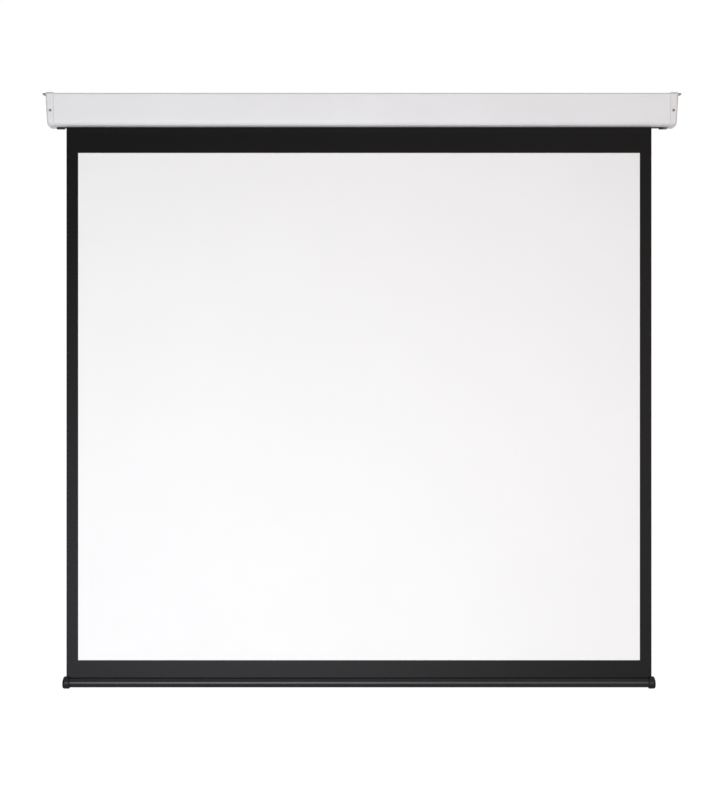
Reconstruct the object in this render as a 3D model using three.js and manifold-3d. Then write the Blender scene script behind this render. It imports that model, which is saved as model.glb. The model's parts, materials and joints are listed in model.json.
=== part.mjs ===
import * as THREE from "three";
import { mergeVertices } from "three/addons/utils/BufferGeometryUtils.js";
import Module from "manifold-3d";

const wasm = await Module();
wasm.setup();

// A motorized projection screen that hangs on a wall or from a ceiling by two brackets.
// Sizes are in millimetres. +X is to the right, the front looks along -Y, and +Z is up.
// The origin is in the middle of the housing's back face, at the height of the wall screws.

// Clearances and counts that the pieces share
const seat = 0.3; // between two pieces that bear on each other
const overrun = 1; // how far a cut runs past what it cuts
const roundSides = 32;
const smallSides = 12;
const cornerSteps = 5;

const housing = {
  idlerRoom: 24, // from the roller's left end to the housing's
  motorRoom: 40, // from the roller's right end to the housing's
  height: 86,
  frontRoom: 45, // from the roller's axis to the front face at its top
  lean: 12, // how far the front face leans back at its foot
  wall: 1.5,
  topAboveHang: 30,
  frontTopRadius: 5,
  frontFootRadius: 12,
  rearTopRadius: 3,
  rearFootRadius: 4,
  slot: 18,
  slotFromBack: 11.2,
};

const trim = { wall: 1.2, lap: 6 };

const cap = {
  lap: 6, // how far it slips over the housing
  lip: 2.2, // how far it stands proud of the housing
  wall: 3,
  draft: 4, // how much shorter it is at the foot than at the top
  cornerRadius: 6,
  edgeRadius: 5,
  rearWall: 2.2,
};

const endPlate = { thickness: 2, setIn: 8, flange: 14, flangeFootAbove: 14, toCap: 2 };

const bracket = {
  thickness: 2,
  overhang: 15, // how far the plate reaches past the cap
  pastLeg: 1, // how far the plate reaches past the leg
  setBack: 46, // how far its front edge lies behind the housing's
  cornerRadius: 10,
  legWidth: 22,
  legBelowHang: 16,
  legRadius: 5,
  ceilingHole: 6.6,
  ceilingHoleSpread: 20,
  keyholeHead: 9,
  keyholeNeck: 5,
  keyholeDrop: 7,
  keyholeWindow: 2, // how much wider the space behind the keyhole is
};

const bracketScrew = {
  shank: 4,
  head: 7.6,
  length: 12,
  sunk: 0.15, // how far the head lies below the bracket's face
  spread: 22,
  crossWidth: 0.9,
  crossLength: 4,
  crossDepth: 1.1,
};

const capScrew = {
  shank: 3.5,
  head: 7.2,
  headThickness: 1.6,
  recess: 2.2,
  length: 11,
  belowShaft: 4,
  crossWidth: 1,
  crossLength: 4,
  crossDepth: 0.9,
};

const plug = {
  proud: 5,
  fromSheet: 4,
  shortLength: 11.7,
  flange: 5,
  flangeThickness: 3,
  toCap: 0.5,
};

const grommet = { bore: 8, neck: 14, flange: 18, lip: 1.5, fromBack: 25, aboveShaft: 12 };

const terminal = { length: 24, height: 13, abovePeg: 3, bore: 6.6, boreDepth: 5, between: 0.5 };

const sheet = { width: 1600, thickness: 0.45, toBar: 1518 };

const picture = { headBorder: 70, sideBorder: 32, footBorder: 61, thickness: 0.15, film: 0.1 };

const roller = { pastSheet: 8, motorGap: 3.5, wall: 1.5, turns: 1.7 };

const idler = {
  plugLength: 26,
  plugFlange: 3,
  bearingRadius: 10.7,
  bearingWidth: 7,
  pinRadius: 4,
  pinInside: 3,
  pinHead: 6,
  pinHeadThickness: 3,
  bore: 5.5,
  boss: 9,
};

const mountPlate = { thickness: 3, toFront: 5, height: 26, rivetRadius: 2, rivetFromEnd: 7 };

const motor = {
  wall: 1,
  headSetIn: 1, // how much less its radius is than the roller's
  headGap: 1.5,
  spigot: 12,
  peg: 16,
  pegPast: 9,
  pinRadius: 1.5,
  pinPast: 4,
  leadRadius: 3,
  capacitorGap: 1.7,
  capacitorLength: 100,
  statorLength: 130,
  airGap: 0.7,
  rotorRadius: 10.5,
  rotorShort: 6, // how much shorter the rotor's core is than the stator
  shaftRadius: 3,
  brakeLength: 26,
  brakeGap: 0.7,
  trainLength: 90,
  socket: 14,
  limitRing: 14,
  limitScrewRadius: 3,
  limitScrewLength: 11,
  limitScrewSpread: 12,
  limitScrewHex: 1.7,
  limitScrewHexDepth: 4,
};

const gears = {
  module: 0.9,
  sunTeeth: 12,
  planetTeeth: 12,
  planets: 3,
  width: 8,
  ringWall: 1.375,
  thinning: 0.2, // how much thinner each tooth is than half its pitch
  addendumShare: 0.8,
  ringAddendumShare: 0.55,
  dedendumShare: 1.25,
  pressureAngle: THREE.MathUtils.degToRad(20),
  flankSteps: 2,
  pinRadius: 1.8,
  pinEdge: 1.9, // from a pin to the carrier's rim
  carrierThickness: 4,
  shaftRadius: 5,
  shaftSides: 6,
  sunShaftRadius: 2.5,
  cupWall: 3,
  run: 0.5, // running gap between turning faces
};

const driveWheel = { width: 16 };

const bar = {
  pastSheet: 11.5,
  radius: 13.5,
  wall: 1.5,
  slot: 3,
  capLength: 21,
  capSkirt: 3.2,
  capRim: 0.5,
  capWall: 3,
  capDome: 1.2,
  capRound: 6,
  hemRadius: 3,
  hemShort: 4,
  ballastShort: 8,
  rodGap: 3.4, // between the hem rod and the ballast rod
};

// Colours, as seen on the object
const paint = (color, roughness, metalness = 0) =>
  new THREE.MeshStandardMaterial({ color, roughness, metalness });
const looks = {
  housing: paint("#dededf", 0.42),
  cap: paint("#e2e1e0", 0.45),
  plated: paint("#a9abae", 0.38, 0.9),
  steel: paint("#8f9296", 0.35, 0.9),
  blackScrew: paint("#1c1c1e", 0.45, 0.4),
  blackRubber: paint("#141415", 0.75),
  greyPlastic: paint("#6f6760", 0.6),
  trim: paint("#202022", 0.6),
  motorBlack: paint("#26272a", 0.4, 0.3),
  brass: paint("#b39148", 0.35, 0.9),
  copper: paint("#a8643c", 0.45, 0.7),
  greenPlastic: paint("#4d6a58", 0.6),
  aluminium: paint("#b9bcc0", 0.35, 0.9),
  fabricBlack: paint("#19191a", 0.85),
  fabricWhite: paint("#f2f2f0", 0.9),
  barBlack: paint("#232528", 0.38, 0.35),
  barCap: paint("#18191b", 0.55),
};

// Closes a three.js geometry into a solid whose faces point out.
function solid(geometry) {
  geometry.deleteAttribute("normal");
  geometry.deleteAttribute("uv");
  const merged = mergeVertices(geometry);
  const points = merged.attributes.position.array;
  const corners = merged.index.array;
  const kept = [];
  const [a, b, c] = [new THREE.Vector3(), new THREE.Vector3(), new THREE.Vector3()];
  let volume = 0;
  for (let i = 0; i < corners.length; i += 3) {
    const [p, q, r] = corners.slice(i, i + 3);
    if (p === q || q === r || r === p) continue;
    kept.push([p, q, r]);
    volume += a.fromArray(points, p * 3).dot(b.fromArray(points, q * 3).cross(c.fromArray(points, r * 3)));
  }
  const facing = volume < 0 ? kept.map(([p, q, r]) => [p, r, q]) : kept;
  return new wasm.Manifold(
    new wasm.Mesh({ numProp: 3, vertProperties: points, triVerts: Uint32Array.from(facing.flat()) }),
  );
}

const cut = (body, ...tools) => tools.reduce((left, tool) => left.subtract(tool), body);
const join = (body, ...others) => others.reduce((whole, other) => whole.add(other), body);

function block([x0, x1], [y0, y1], [z0, z1]) {
  const geometry = new THREE.BoxGeometry(x1 - x0, y1 - y0, z1 - z0);
  return solid(geometry.translate((x0 + x1) / 2, (y0 + y1) / 2, (z0 + z1) / 2));
}

// The directions that an outline's two axes and its length take in the object
const frames = {
  x: [new THREE.Vector3(0, 1, 0), new THREE.Vector3(0, 0, 1), new THREE.Vector3(1, 0, 0)],
  y: [new THREE.Vector3(1, 0, 0), new THREE.Vector3(0, 0, 1), new THREE.Vector3(0, 1, 0)],
  z: [new THREE.Vector3(1, 0, 0), new THREE.Vector3(0, 1, 0), new THREE.Vector3(0, 0, 1)],
};

// A prism along one axis, from the outline of its section.
function prism(axis, outline, [from, to]) {
  const shape = new THREE.Shape(outline.map(([u, v]) => new THREE.Vector2(u, v)));
  const geometry = new THREE.ExtrudeGeometry(shape, { depth: to - from, bevelEnabled: false });
  geometry.translate(0, 0, from);
  return solid(geometry.applyMatrix4(new THREE.Matrix4().makeBasis(...frames[axis])));
}

// A body turned about an axis, from [place along the axis, radius] points.
function turned(axis, profile, at = [0, 0], sides = roundSides) {
  const points = profile.map(([along, radius]) => new THREE.Vector2(radius, along));
  if (profile[0][1] > 0) points.push(points[0]);
  const geometry = new THREE.LatheGeometry(points, sides);
  if (axis === "x") geometry.rotateZ(-Math.PI / 2).translate(0, at[0], at[1]);
  if (axis === "y") geometry.translate(at[0], 0, at[1]);
  if (axis === "z") geometry.rotateX(Math.PI / 2).translate(at[0], at[1], 0);
  return solid(geometry);
}

function rod(axis, radius, [from, to], at, sides) {
  return turned(axis, [[from, 0], [from, radius], [to, radius], [to, 0]], at, sides);
}

function ring(axis, outer, inner, [from, to], at, sides) {
  return turned(axis, [[from, inner], [from, outer], [to, outer], [to, inner]], at, sides);
}

// Rounds the corners of an outline; each corner is [u, v, radius].
function rounded(corners) {
  const outline = [];
  corners.forEach(([u, v, radius], i) => {
    const corner = new THREE.Vector2(u, v);
    const before = new THREE.Vector2(...corners.at(i - 1)).sub(corner).normalize();
    const after = new THREE.Vector2(...corners[(i + 1) % corners.length]).sub(corner).normalize();
    const half = Math.acos(before.dot(after)) / 2;
    if (!(radius > 0)) return outline.push([u, v]);
    const middle = before.clone().add(after).normalize();
    const centre = corner.clone().addScaledVector(middle, radius / Math.sin(half));
    const start = corner.clone().addScaledVector(before, radius / Math.tan(half)).sub(centre);
    const end = corner.clone().addScaledVector(after, radius / Math.tan(half)).sub(centre);
    const turn = Math.atan2(start.cross(end), start.dot(end));
    for (let step = 0; step <= cornerSteps; step += 1) {
      const angle = (turn * step) / cornerSteps;
      const point = start.clone().rotateAround(new THREE.Vector2(), angle).add(centre);
      outline.push([point.x, point.y]);
    }
    return outline;
  });
  return outline;
}

// Moves each side of a convex outline inwards by its own distance; the side i runs from corner i.
function inset(corners, distances) {
  const count = corners.length;
  const sides = corners.map(([u, v], i) => {
    const [nextU, nextV] = corners[(i + 1) % count];
    const along = new THREE.Vector2(nextU - u, nextV - v).normalize();
    const inward = new THREE.Vector2(-along.y, along.x);
    return { point: new THREE.Vector2(u, v).addScaledVector(inward, distances[i]), along };
  });
  return corners.map(([, , radius], i) => {
    const before = sides.at(i - 1);
    const after = sides[i];
    const reach =
      after.point.clone().sub(before.point).cross(after.along) / before.along.cross(after.along);
    const corner = before.point.clone().addScaledVector(before.along, reach);
    const depth = Math.min(distances.at(i - 1), distances[i]);
    return [corner.x, corner.y, Math.max(radius - depth, 0)];
  });
}

const mirrored = (body) => body.mirror([1, 0, 0]);

// Turns a solid into a named mesh; side -1 gives its mirror image.
function mesh(name, body, material, side = 1) {
  const { vertProperties, triVerts } = (side < 0 ? mirrored(body) : body).getMesh();
  const geometry = new THREE.BufferGeometry();
  geometry.setAttribute("position", new THREE.BufferAttribute(Float32Array.from(vertProperties), 3));
  geometry.setIndex(Array.from(triVerts));
  geometry.computeVertexNormals();
  const made = new THREE.Mesh(geometry, material);
  made.name = name;
  return made;
}

const both = (half) => [-half, half];
const shifted = ([from, to], by) => [from + by, to + by];

// Places along X that several pieces share; the sheet's middle lies to the left of the housing's
const rollerHalf = sheet.width / 2 + roller.pastSheet;
const housingHalf = rollerHalf + (housing.idlerRoom + housing.motorRoom) / 2;
const rollerLeft = housingHalf - housing.idlerRoom;
const rollerRight = housingHalf - housing.motorRoom;
const hangX = (rollerRight - rollerLeft) / 2;
const webStart = housingHalf - endPlate.setIn;
const webEnd = webStart + endPlate.thickness;
const flangeEnd = webEnd + endPlate.flange;
const capEdge = housingHalf - cap.lap;
const capEnd = flangeEnd + endPlate.toCap + cap.draft + cap.wall;
const screwX = (housingHalf + flangeEnd) / 2;
const legMiddle = housingHalf;
const legInner = legMiddle - bracket.legWidth / 2;
const legOuter = legMiddle + bracket.legWidth / 2;

// Radii that follow from the gears: ring gear, motor tube, roller, and the fabric wound on it
const ringTeeth = gears.sunTeeth + gears.planetTeeth * 2;
const sunPitch = (gears.module * gears.sunTeeth) / 2;
const planetPitch = (gears.module * gears.planetTeeth) / 2;
const ringPitch = (gears.module * ringTeeth) / 2;
const dedendum = gears.module * gears.dedendumShare;
const insideRadius = ringPitch + dedendum + gears.ringWall;
const bodyBore = insideRadius + seat;
const motorRadius = bodyBore + motor.wall;
const rollerBore = motorRadius + roller.motorGap;
const rollerRadius = rollerBore + roller.wall;
const fitRadius = rollerBore - seat;
const woundPitch = sheet.thickness + seat;
const woundStart = rollerRadius + seat + woundPitch * roller.turns;

// Places in the housing's section
const slotRear = -housing.slotFromBack;
const slotFront = slotRear - housing.slot;
const sheetY = (slotFront + slotRear) / 2;
const rollerY = sheetY - sheet.thickness / 2 - woundStart;
const housingDepth = housing.frontRoom - rollerY;
const housingTop = housing.topAboveHang;
const housingFoot = housingTop - housing.height;
const rollerZ = (housingTop + housingFoot) / 2;
const capTop = housingTop + cap.lip;
const capFoot = housingFoot - cap.lip;
const barZ = housingFoot - sheet.toBar;
const frontAt = (z) => -housingDepth + (housing.lean * (housingTop - z)) / housing.height;

// The housing's section, from the foot of the front counterclockwise: bottom, rear, top, front
const section = [
  [-housingDepth + housing.lean, housingFoot, housing.frontFootRadius],
  [0, housingFoot, housing.rearFootRadius],
  [0, housingTop, housing.rearTopRadius],
  [-housingDepth, housingTop, housing.frontTopRadius],
];
const evenly = (distance) => [distance, distance, distance, distance];
const plateDepth = housing.wall + seat;
const plateSection = inset(section, [plateDepth, bracket.thickness + seat, plateDepth, plateDepth]);

const screenUnit = new THREE.Group();

// Housing: a roll-formed steel profile, open along its foot, its back cut away for the bracket legs
const legNotch = block(
  [legInner - seat, housingHalf + overrun],
  [-cap.rearWall - seat, overrun],
  [housingFoot - overrun, housingTop + overrun],
);
const pastHousing = both(housingHalf + overrun);
screenUnit.add(
  mesh(
    "housing_shell",
    cut(
      prism("x", rounded(section), both(housingHalf)),
      prism("x", rounded(inset(section, evenly(housing.wall))), pastHousing),
      block(
        pastHousing,
        [slotFront, slotRear],
        [housingFoot - overrun, housingFoot + housing.wall + overrun],
      ),
      legNotch,
      mirrored(legNotch),
    ),
    looks.housing,
  ),
);

// Trims: a channel clipped over each edge of the slot, between the plugs that close its ends
const plugStart = sheet.width / 2 - hangX + plug.fromSheet;
const plugEnd = capEdge - plug.toCap;
function slotTrim(edge, towards) {
  const inner = edge - towards * seat;
  const outer = inner - towards * trim.wall;
  const tip = edge + towards * trim.lap;
  const foot = housingFoot - seat;
  const top = housingFoot + housing.wall + seat;
  const outline = [
    [tip, foot - trim.wall],
    [outer, foot - trim.wall],
    [outer, top + trim.wall],
    [tip, top + trim.wall],
    [tip, top],
    [inner, top],
    [inner, foot],
    [tip, foot],
  ];
  return prism("x", outline, both(plugStart - seat));
}
screenUnit.add(mesh("slot_trim_front", slotTrim(slotFront, -1), looks.trim));
screenUnit.add(mesh("slot_trim_rear", slotTrim(slotRear, 1), looks.trim));

// Slot plugs: they fill the slot and rest on the housing's floor
const plugFloor = housingFoot + housing.wall + seat;
const plugTop = plugFloor + plug.flangeThickness;
function slotPlug(span) {
  return join(
    block(span, [slotFront + seat, slotRear - seat], [housingFoot - plug.proud, plugTop]),
    block(span, [slotFront + seat - plug.flange, slotRear - seat + plug.flange], [plugFloor, plugTop]),
  );
}
const shortEnd = plugStart + plug.shortLength;
screenUnit.add(mesh("slot_plug_left", slotPlug([plugStart, plugEnd]), looks.blackRubber, -1));
screenUnit.add(mesh("slot_plug_right", slotPlug([plugStart, shortEnd]), looks.blackRubber));
screenUnit.add(mesh("slot_plug_grey", slotPlug([shortEnd + seat, plugEnd]), looks.greyPlastic));

// End plates: a web across the housing with a flange that turns out into the cap
const bracketDepth = housingDepth - bracket.setBack;
const screwYs = [bracketScrew.spread / 2, -bracketScrew.spread / 2].map((y) => y - bracketDepth / 2);
const capScrewZ = rollerZ - capScrew.belowShaft;
const pegHalf = motor.peg / 2;
const blockFoot = pegHalf + terminal.abovePeg;
const leadUp = blockFoot + terminal.height / 2;
const mountFront = -frontAt(rollerZ - mountPlate.height / 2) - housing.wall - mountPlate.toFront;
const mountHalf = mountFront + rollerY;
const rivetYs = both(mountHalf - mountPlate.rivetFromEnd).map((y) => y + rollerY);
const webCut = [webStart - overrun, webEnd + overrun];
const keyholeBack = (bracket.keyholeHead + bracket.keyholeWindow * 2) / 2;

function endPlateBody(shaftHole) {
  const hollow = inset(plateSection, evenly(endPlate.thickness));
  const flangeFoot = housingFoot + endPlate.flangeFootAbove;
  return cut(
    prism("x", rounded(plateSection), [webStart, flangeEnd]),
    prism("x", rounded(hollow), [webEnd, flangeEnd + overrun]),
    block([webEnd, flangeEnd + overrun], [-housingDepth, overrun], [housingFoot, flangeFoot]),
    block(webCut, [slotFront - plug.flange, slotRear + plug.flange], [housingFoot, plugTop + seat]),
    block(
      [webEnd, legMiddle + keyholeBack],
      [-bracket.thickness - seat - endPlate.thickness - overrun, overrun],
      [-bracket.keyholeDrop - keyholeBack, keyholeBack],
    ),
    rod("y", capScrew.shank / 2 + seat, [-housingDepth, rollerY], [screwX, capScrewZ], smallSides),
    ...screwYs.map((y) =>
      rod("z", bracketScrew.shank / 2 + seat, [0, housingTop], [screwX, y], smallSides),
    ),
    ...rivetYs.map((y) => rod("x", mountPlate.rivetRadius + seat, webCut, [y, rollerZ], smallSides)),
    shaftHole,
  );
}
const idlerHole = rod("x", idler.pinRadius + seat, webCut, [rollerY, rollerZ]);
const pegHole = block(
  webCut,
  shifted(both(pegHalf + seat), rollerY),
  shifted(both(pegHalf + seat), rollerZ),
);
const leadHole = rod("x", motor.leadRadius + seat * 2, webCut, [rollerY, rollerZ + leadUp], smallSides);
screenUnit.add(mesh("end_plate_left", endPlateBody(idlerHole), looks.plated, -1));
screenUnit.add(mesh("end_plate_right", endPlateBody(join(pegHole, leadHole)), looks.plated));

// End caps: a moulded cup, drafted towards its foot, that slips over the housing and the flange
const grommetY = -grommet.fromBack;
const grommetZ = rollerZ + grommet.aboveShaft;
const draftAt = (z) => (cap.draft * (capTop - z)) / (capTop - capFoot);
const draftAngle = Math.atan2(cap.draft, capTop - capFoot);
const capFront = frontAt(capScrewZ) - cap.lip;
const recessSpan = [capFront - overrun, capFront + capScrew.recess];

function capBody(endHole) {
  const outer = inset(section, [-cap.lip, 0, -cap.lip, -cap.lip]);
  const inner = inset(plateSection, evenly(-seat));
  const socket = inset(section, evenly(-seat));
  const far = housing.height; // past the open edge, where nothing limits the outline
  const front = (wall) => [
    [capEdge - far, capFoot + wall, 0],
    [capEnd - cap.draft - wall, capFoot + wall, cap.cornerRadius - wall],
    [capEnd - wall, capTop - wall, cap.edgeRadius - wall],
    [capEdge - far, capTop - wall, 0],
  ];
  const plan = (wall) => [
    [capEdge - far, -housingDepth - cap.lip + wall, 0],
    [capEnd - wall, -housingDepth - cap.lip + wall, cap.edgeRadius - wall],
    [capEnd - wall, 0, 0],
    [capEdge - far, 0, 0],
  ];
  const past = [-housingDepth - far, far];
  const shell = prism("x", rounded(outer), [capEdge, capEnd])
    .intersect(prism("y", rounded(front(0)), past))
    .intersect(prism("z", rounded(plan(0)), past));
  const hollow = prism("x", rounded(inner), [capEdge - overrun, capEnd])
    .intersect(prism("y", rounded(front(cap.wall)), past))
    .intersect(prism("z", rounded(plan(cap.wall)), past));
  return cut(
    shell,
    hollow,
    cut(
      prism("x", rounded(socket), [capEdge - overrun, housingHalf + seat]),
      block([capEdge - far, capEnd], [-cap.rearWall, far], past),
    ),
    block(
      [capEdge - overrun, legOuter + seat],
      [-bracket.thickness - seat, overrun],
      [-bracket.legBelowHang - seat, capTop + overrun],
    ),
    rod("y", capScrew.head / 2 + seat, recessSpan, [screwX, capScrewZ], smallSides),
    rod("y", capScrew.shank / 2 + seat, [recessSpan[1], rollerY], [screwX, capScrewZ], smallSides),
    ...screwYs.map((y) =>
      rod("z", bracketScrew.shank / 2 + seat, [0, capTop + overrun], [screwX, y], smallSides),
    ),
    ...endHole,
  );
}
const grommetHole = rod("x", grommet.neck / 2 + seat, [webEnd, capEnd + overrun], [grommetY, grommetZ]);
screenUnit.add(mesh("end_cap_left", capBody([]), looks.cap, -1));
screenUnit.add(mesh("end_cap_right", capBody([grommetHole]), looks.cap));

// Cable grommet: a rubber ring in the right cap's end wall, square to the drafted wall
const grommetHalf = cap.wall / 2 + seat;
const grommetMesh = mesh(
  "cable_grommet",
  turned("x", [
    [-grommetHalf - grommet.lip, grommet.bore / 2],
    [-grommetHalf - grommet.lip, grommet.flange / 2],
    [-grommetHalf, grommet.flange / 2],
    [-grommetHalf, grommet.neck / 2],
    [grommetHalf, grommet.neck / 2],
    [grommetHalf, grommet.flange / 2],
    [grommetHalf + grommet.lip, grommet.flange / 2],
    [grommetHalf + grommet.lip, grommet.bore / 2],
  ]),
  looks.blackRubber,
);
grommetMesh.position.set(capEnd - draftAt(grommetZ) - cap.wall / 2, grommetY, grommetZ);
grommetMesh.rotation.y = draftAngle;
screenUnit.add(grommetMesh);

// A cross recess, sunk along one axis over a span, from the middle of a screw's head
function crossCut(axis, { crossWidth, crossLength }, span, [u, v]) {
  const bar = (width, height) =>
    prism(
      axis,
      [
        [u - width / 2, v - height / 2],
        [u + width / 2, v - height / 2],
        [u + width / 2, v + height / 2],
        [u - width / 2, v + height / 2],
      ],
      span,
    );
  return join(bar(crossLength, crossWidth), bar(crossWidth, crossLength));
}

// Cap screws: dark round heads sunk in the front of each cap
function capScrewBody() {
  const bearing = recessSpan[1] - seat;
  const face = bearing - capScrew.headThickness;
  const body = turned(
    "y",
    [
      [face, 0],
      [face, capScrew.head / 2],
      [bearing, capScrew.head / 2],
      [bearing, capScrew.shank / 2],
      [bearing + capScrew.length, capScrew.shank / 2],
      [bearing + capScrew.length, 0],
    ],
    [screwX, capScrewZ],
    smallSides,
  );
  const crossSpan = [face - overrun, face + capScrew.crossDepth];
  return cut(body, crossCut("y", capScrew, crossSpan, [screwX, capScrewZ]));
}
screenUnit.add(mesh("cap_screw_left", capScrewBody(), looks.blackScrew, -1));
screenUnit.add(mesh("cap_screw_right", capScrewBody(), looks.blackScrew));

// Brackets: a plate over the cap, and a leg down its back with a keyhole for the wall screw
const plateFoot = capTop + seat;
const plateTop = plateFoot + bracket.thickness;
const bracketEnd = capEnd + bracket.overhang;
const sink = (bracketScrew.head - bracketScrew.shank) / 2;

function screwProfile(top, loose) {
  return [
    [top - bracketScrew.length, 0],
    [top - bracketScrew.length, bracketScrew.shank / 2 + loose],
    [top - sink, bracketScrew.shank / 2 + loose],
    [top, bracketScrew.head / 2 + loose],
    [top, 0],
  ];
}

function bracketBody() {
  const inner = legInner - bracket.pastLeg;
  const plate = prism(
    "z",
    rounded([
      [inner, -bracketDepth, bracket.cornerRadius],
      [bracketEnd, -bracketDepth, bracket.cornerRadius],
      [bracketEnd, 0, bracket.cornerRadius],
      [inner, 0, 0],
    ]),
    [plateFoot, plateTop],
  );
  const leg = prism(
    "y",
    rounded([
      [legInner, -bracket.legBelowHang, bracket.legRadius],
      [legOuter, -bracket.legBelowHang, bracket.legRadius],
      [legOuter, plateTop, 0],
      [legInner, plateTop, 0],
    ]),
    [-bracket.thickness, 0],
  );
  const through = [-bracket.thickness - overrun, overrun];
  const neckTop = bracket.keyholeNeck / 2;
  return cut(
    join(plate, leg),
    rod("y", bracket.keyholeHead / 2, through, [legMiddle, -bracket.keyholeDrop], smallSides),
    block(shifted(both(neckTop), legMiddle), through, [-bracket.keyholeDrop, 0]),
    rod("y", neckTop, through, [legMiddle, 0], smallSides),
    ...both(bracket.ceilingHoleSpread / 2).map((y) =>
      rod(
        "z",
        bracket.ceilingHole / 2,
        [plateFoot - overrun, plateTop + overrun],
        [bracketEnd - bracket.overhang / 2, y - bracketDepth / 2],
        smallSides,
      ),
    ),
    ...screwYs.map((y) => turned("z", screwProfile(plateTop, seat), [screwX, y], smallSides)),
  );
}
screenUnit.add(mesh("bracket_left", bracketBody(), looks.plated, -1));
screenUnit.add(mesh("bracket_right", bracketBody(), looks.plated));

// Bracket screws: sunk heads, through the plate, the cap and the end plate's top flange
screwYs.forEach((y, i) => {
  const place = i === 0 ? "rear" : "front";
  const top = plateTop - bracketScrew.sunk;
  const cross = crossCut("z", bracketScrew, [top - bracketScrew.crossDepth, top + overrun], [screwX, y]);
  const screw = cut(turned("z", screwProfile(top, 0), [screwX, y], smallSides), cross);
  screenUnit.add(mesh(`bracket_screw_left_${place}`, screw, looks.steel, -1));
  screenUnit.add(mesh(`bracket_screw_right_${place}`, screw, looks.steel));
});

// The drive's fixed pieces lie along the roller's axis; this group's x runs from the housing's middle.
const drive = new THREE.Group();
drive.position.set(0, rollerY, rollerZ);
screenUnit.add(drive);

const mountSpan = [webStart - seat - mountPlate.thickness, webStart - seat];
const mountBody = (hole) =>
  cut(
    join(
      block(mountSpan, both(mountHalf), both(mountPlate.height / 2)),
      ...rivetYs.map((y) =>
        rod("x", mountPlate.rivetRadius, [mountSpan[0], webEnd + seat], [y - rollerY, 0], smallSides),
      ),
    ),
    hole,
  );

// Idler side, built to the right and mirrored
const idlerFlangeEnd = rollerLeft + seat + idler.plugFlange;
const bossEnd = idlerFlangeEnd + gears.run + seat;
const idlerThrough = rod("x", idler.pinRadius + seat, [bossEnd - overrun, webEnd + overrun]);
const idlerBoss = rod("x", idler.boss, [bossEnd, mountSpan[1]]);
drive.add(
  mesh(
    "idler_bracket",
    cut(join(mountBody(idlerThrough), idlerBoss), idlerThrough),
    looks.plated,
    -1,
  ),
);
const bearingEnd = idlerFlangeEnd - seat;
const bearingSpan = [bearingEnd - idler.bearingWidth, bearingEnd];
const pinHeadStart = webEnd + seat;
drive.add(
  mesh(
    "idler_pin",
    turned("x", [
      [bearingSpan[0] - idler.pinInside, 0],
      [bearingSpan[0] - idler.pinInside, idler.pinRadius],
      [pinHeadStart, idler.pinRadius],
      [pinHeadStart, idler.pinHead],
      [pinHeadStart + idler.pinHeadThickness, idler.pinHead],
      [pinHeadStart + idler.pinHeadThickness, 0],
    ]),
    looks.steel,
    -1,
  ),
);

// Motor side: the head's square peg passes the bracket and the web, and a pin holds it there
const pegSquare = (span, half) => block(span, both(half), both(half));
const headStart = rollerRight + motor.headGap;
const headEnd = mountSpan[0] - seat;
const pegEnd = webEnd + motor.pegPast;
const pinX = (webEnd + pegEnd) / 2;
drive.add(
  mesh(
    "motor_bracket",
    mountBody(pegSquare([mountSpan[0] - overrun, webEnd + overrun], pegHalf + seat)),
    looks.plated,
  ),
);
drive.add(
  mesh(
    "motor_retaining_pin",
    rod("y", motor.pinRadius, both(pegHalf + motor.pinPast), [pinX, 0], smallSides),
    looks.steel,
  ),
);
const headRadius = rollerRadius - motor.headSetIn;
const limitScrewXs = both(motor.limitScrewSpread / 2).map((x) => x + (headStart + headEnd) / 2);
const limitScrewFoot = -headRadius - seat;
const limitScrewTop = limitScrewFoot + motor.limitScrewLength;
const limitBore = [limitScrewFoot - overrun, limitScrewTop + seat];
drive.add(
  mesh(
    "motor_head",
    cut(
      join(
        rod("x", headRadius, [headStart, headEnd]),
        rod("x", insideRadius, [headStart - motor.spigot, headEnd]),
        pegSquare([headStart, pegEnd], pegHalf),
      ),
      rod("y", motor.pinRadius + seat, both(pegHalf + overrun), [pinX, 0], smallSides),
      ...limitScrewXs.map((x) =>
        rod("z", motor.limitScrewRadius + seat, limitBore, [x, 0], smallSides),
      ),
    ),
    looks.motorBlack,
  ),
);
limitScrewXs.forEach((x, i) => {
  const body = cut(
    rod("z", motor.limitScrewRadius, [limitScrewFoot, limitScrewTop], [0, 0], smallSides),
    rod(
      "z",
      motor.limitScrewHex,
      [limitScrewFoot - overrun, limitScrewFoot + motor.limitScrewHexDepth],
      [0, 0],
      gears.shaftSides,
    ),
  );
  const screw = mesh(i === 0 ? "limit_screw_up" : "limit_screw_down", body, looks.brass);
  screw.position.x = x;
  drive.add(screw);
});

// Motor lead and terminal block
const blockStart = webEnd + seat;
const blockSpan = [blockStart, blockStart + terminal.boreDepth * 2 + terminal.between];
drive.add(
  mesh(
    "motor_lead",
    rod(
      "x",
      motor.leadRadius,
      [headEnd + seat, blockStart + terminal.boreDepth - seat],
      [0, leadUp],
      smallSides,
    ),
    looks.blackRubber,
  ),
);
drive.add(
  mesh(
    "terminal_block",
    cut(
      block(blockSpan, both(terminal.length / 2), [blockFoot, blockFoot + terminal.height]),
      rod(
        "x",
        terminal.bore / 2,
        [blockSpan[0] - overrun, blockSpan[0] + terminal.boreDepth],
        [0, leadUp],
        smallSides,
      ),
      rod(
        "x",
        terminal.bore / 2,
        [blockSpan[1] - terminal.boreDepth, blockSpan[1] + overrun],
        [terminal.length / 2 - terminal.bore, leadUp],
        smallSides,
      ),
    ),
    looks.greenPlastic,
  ),
);

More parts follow.
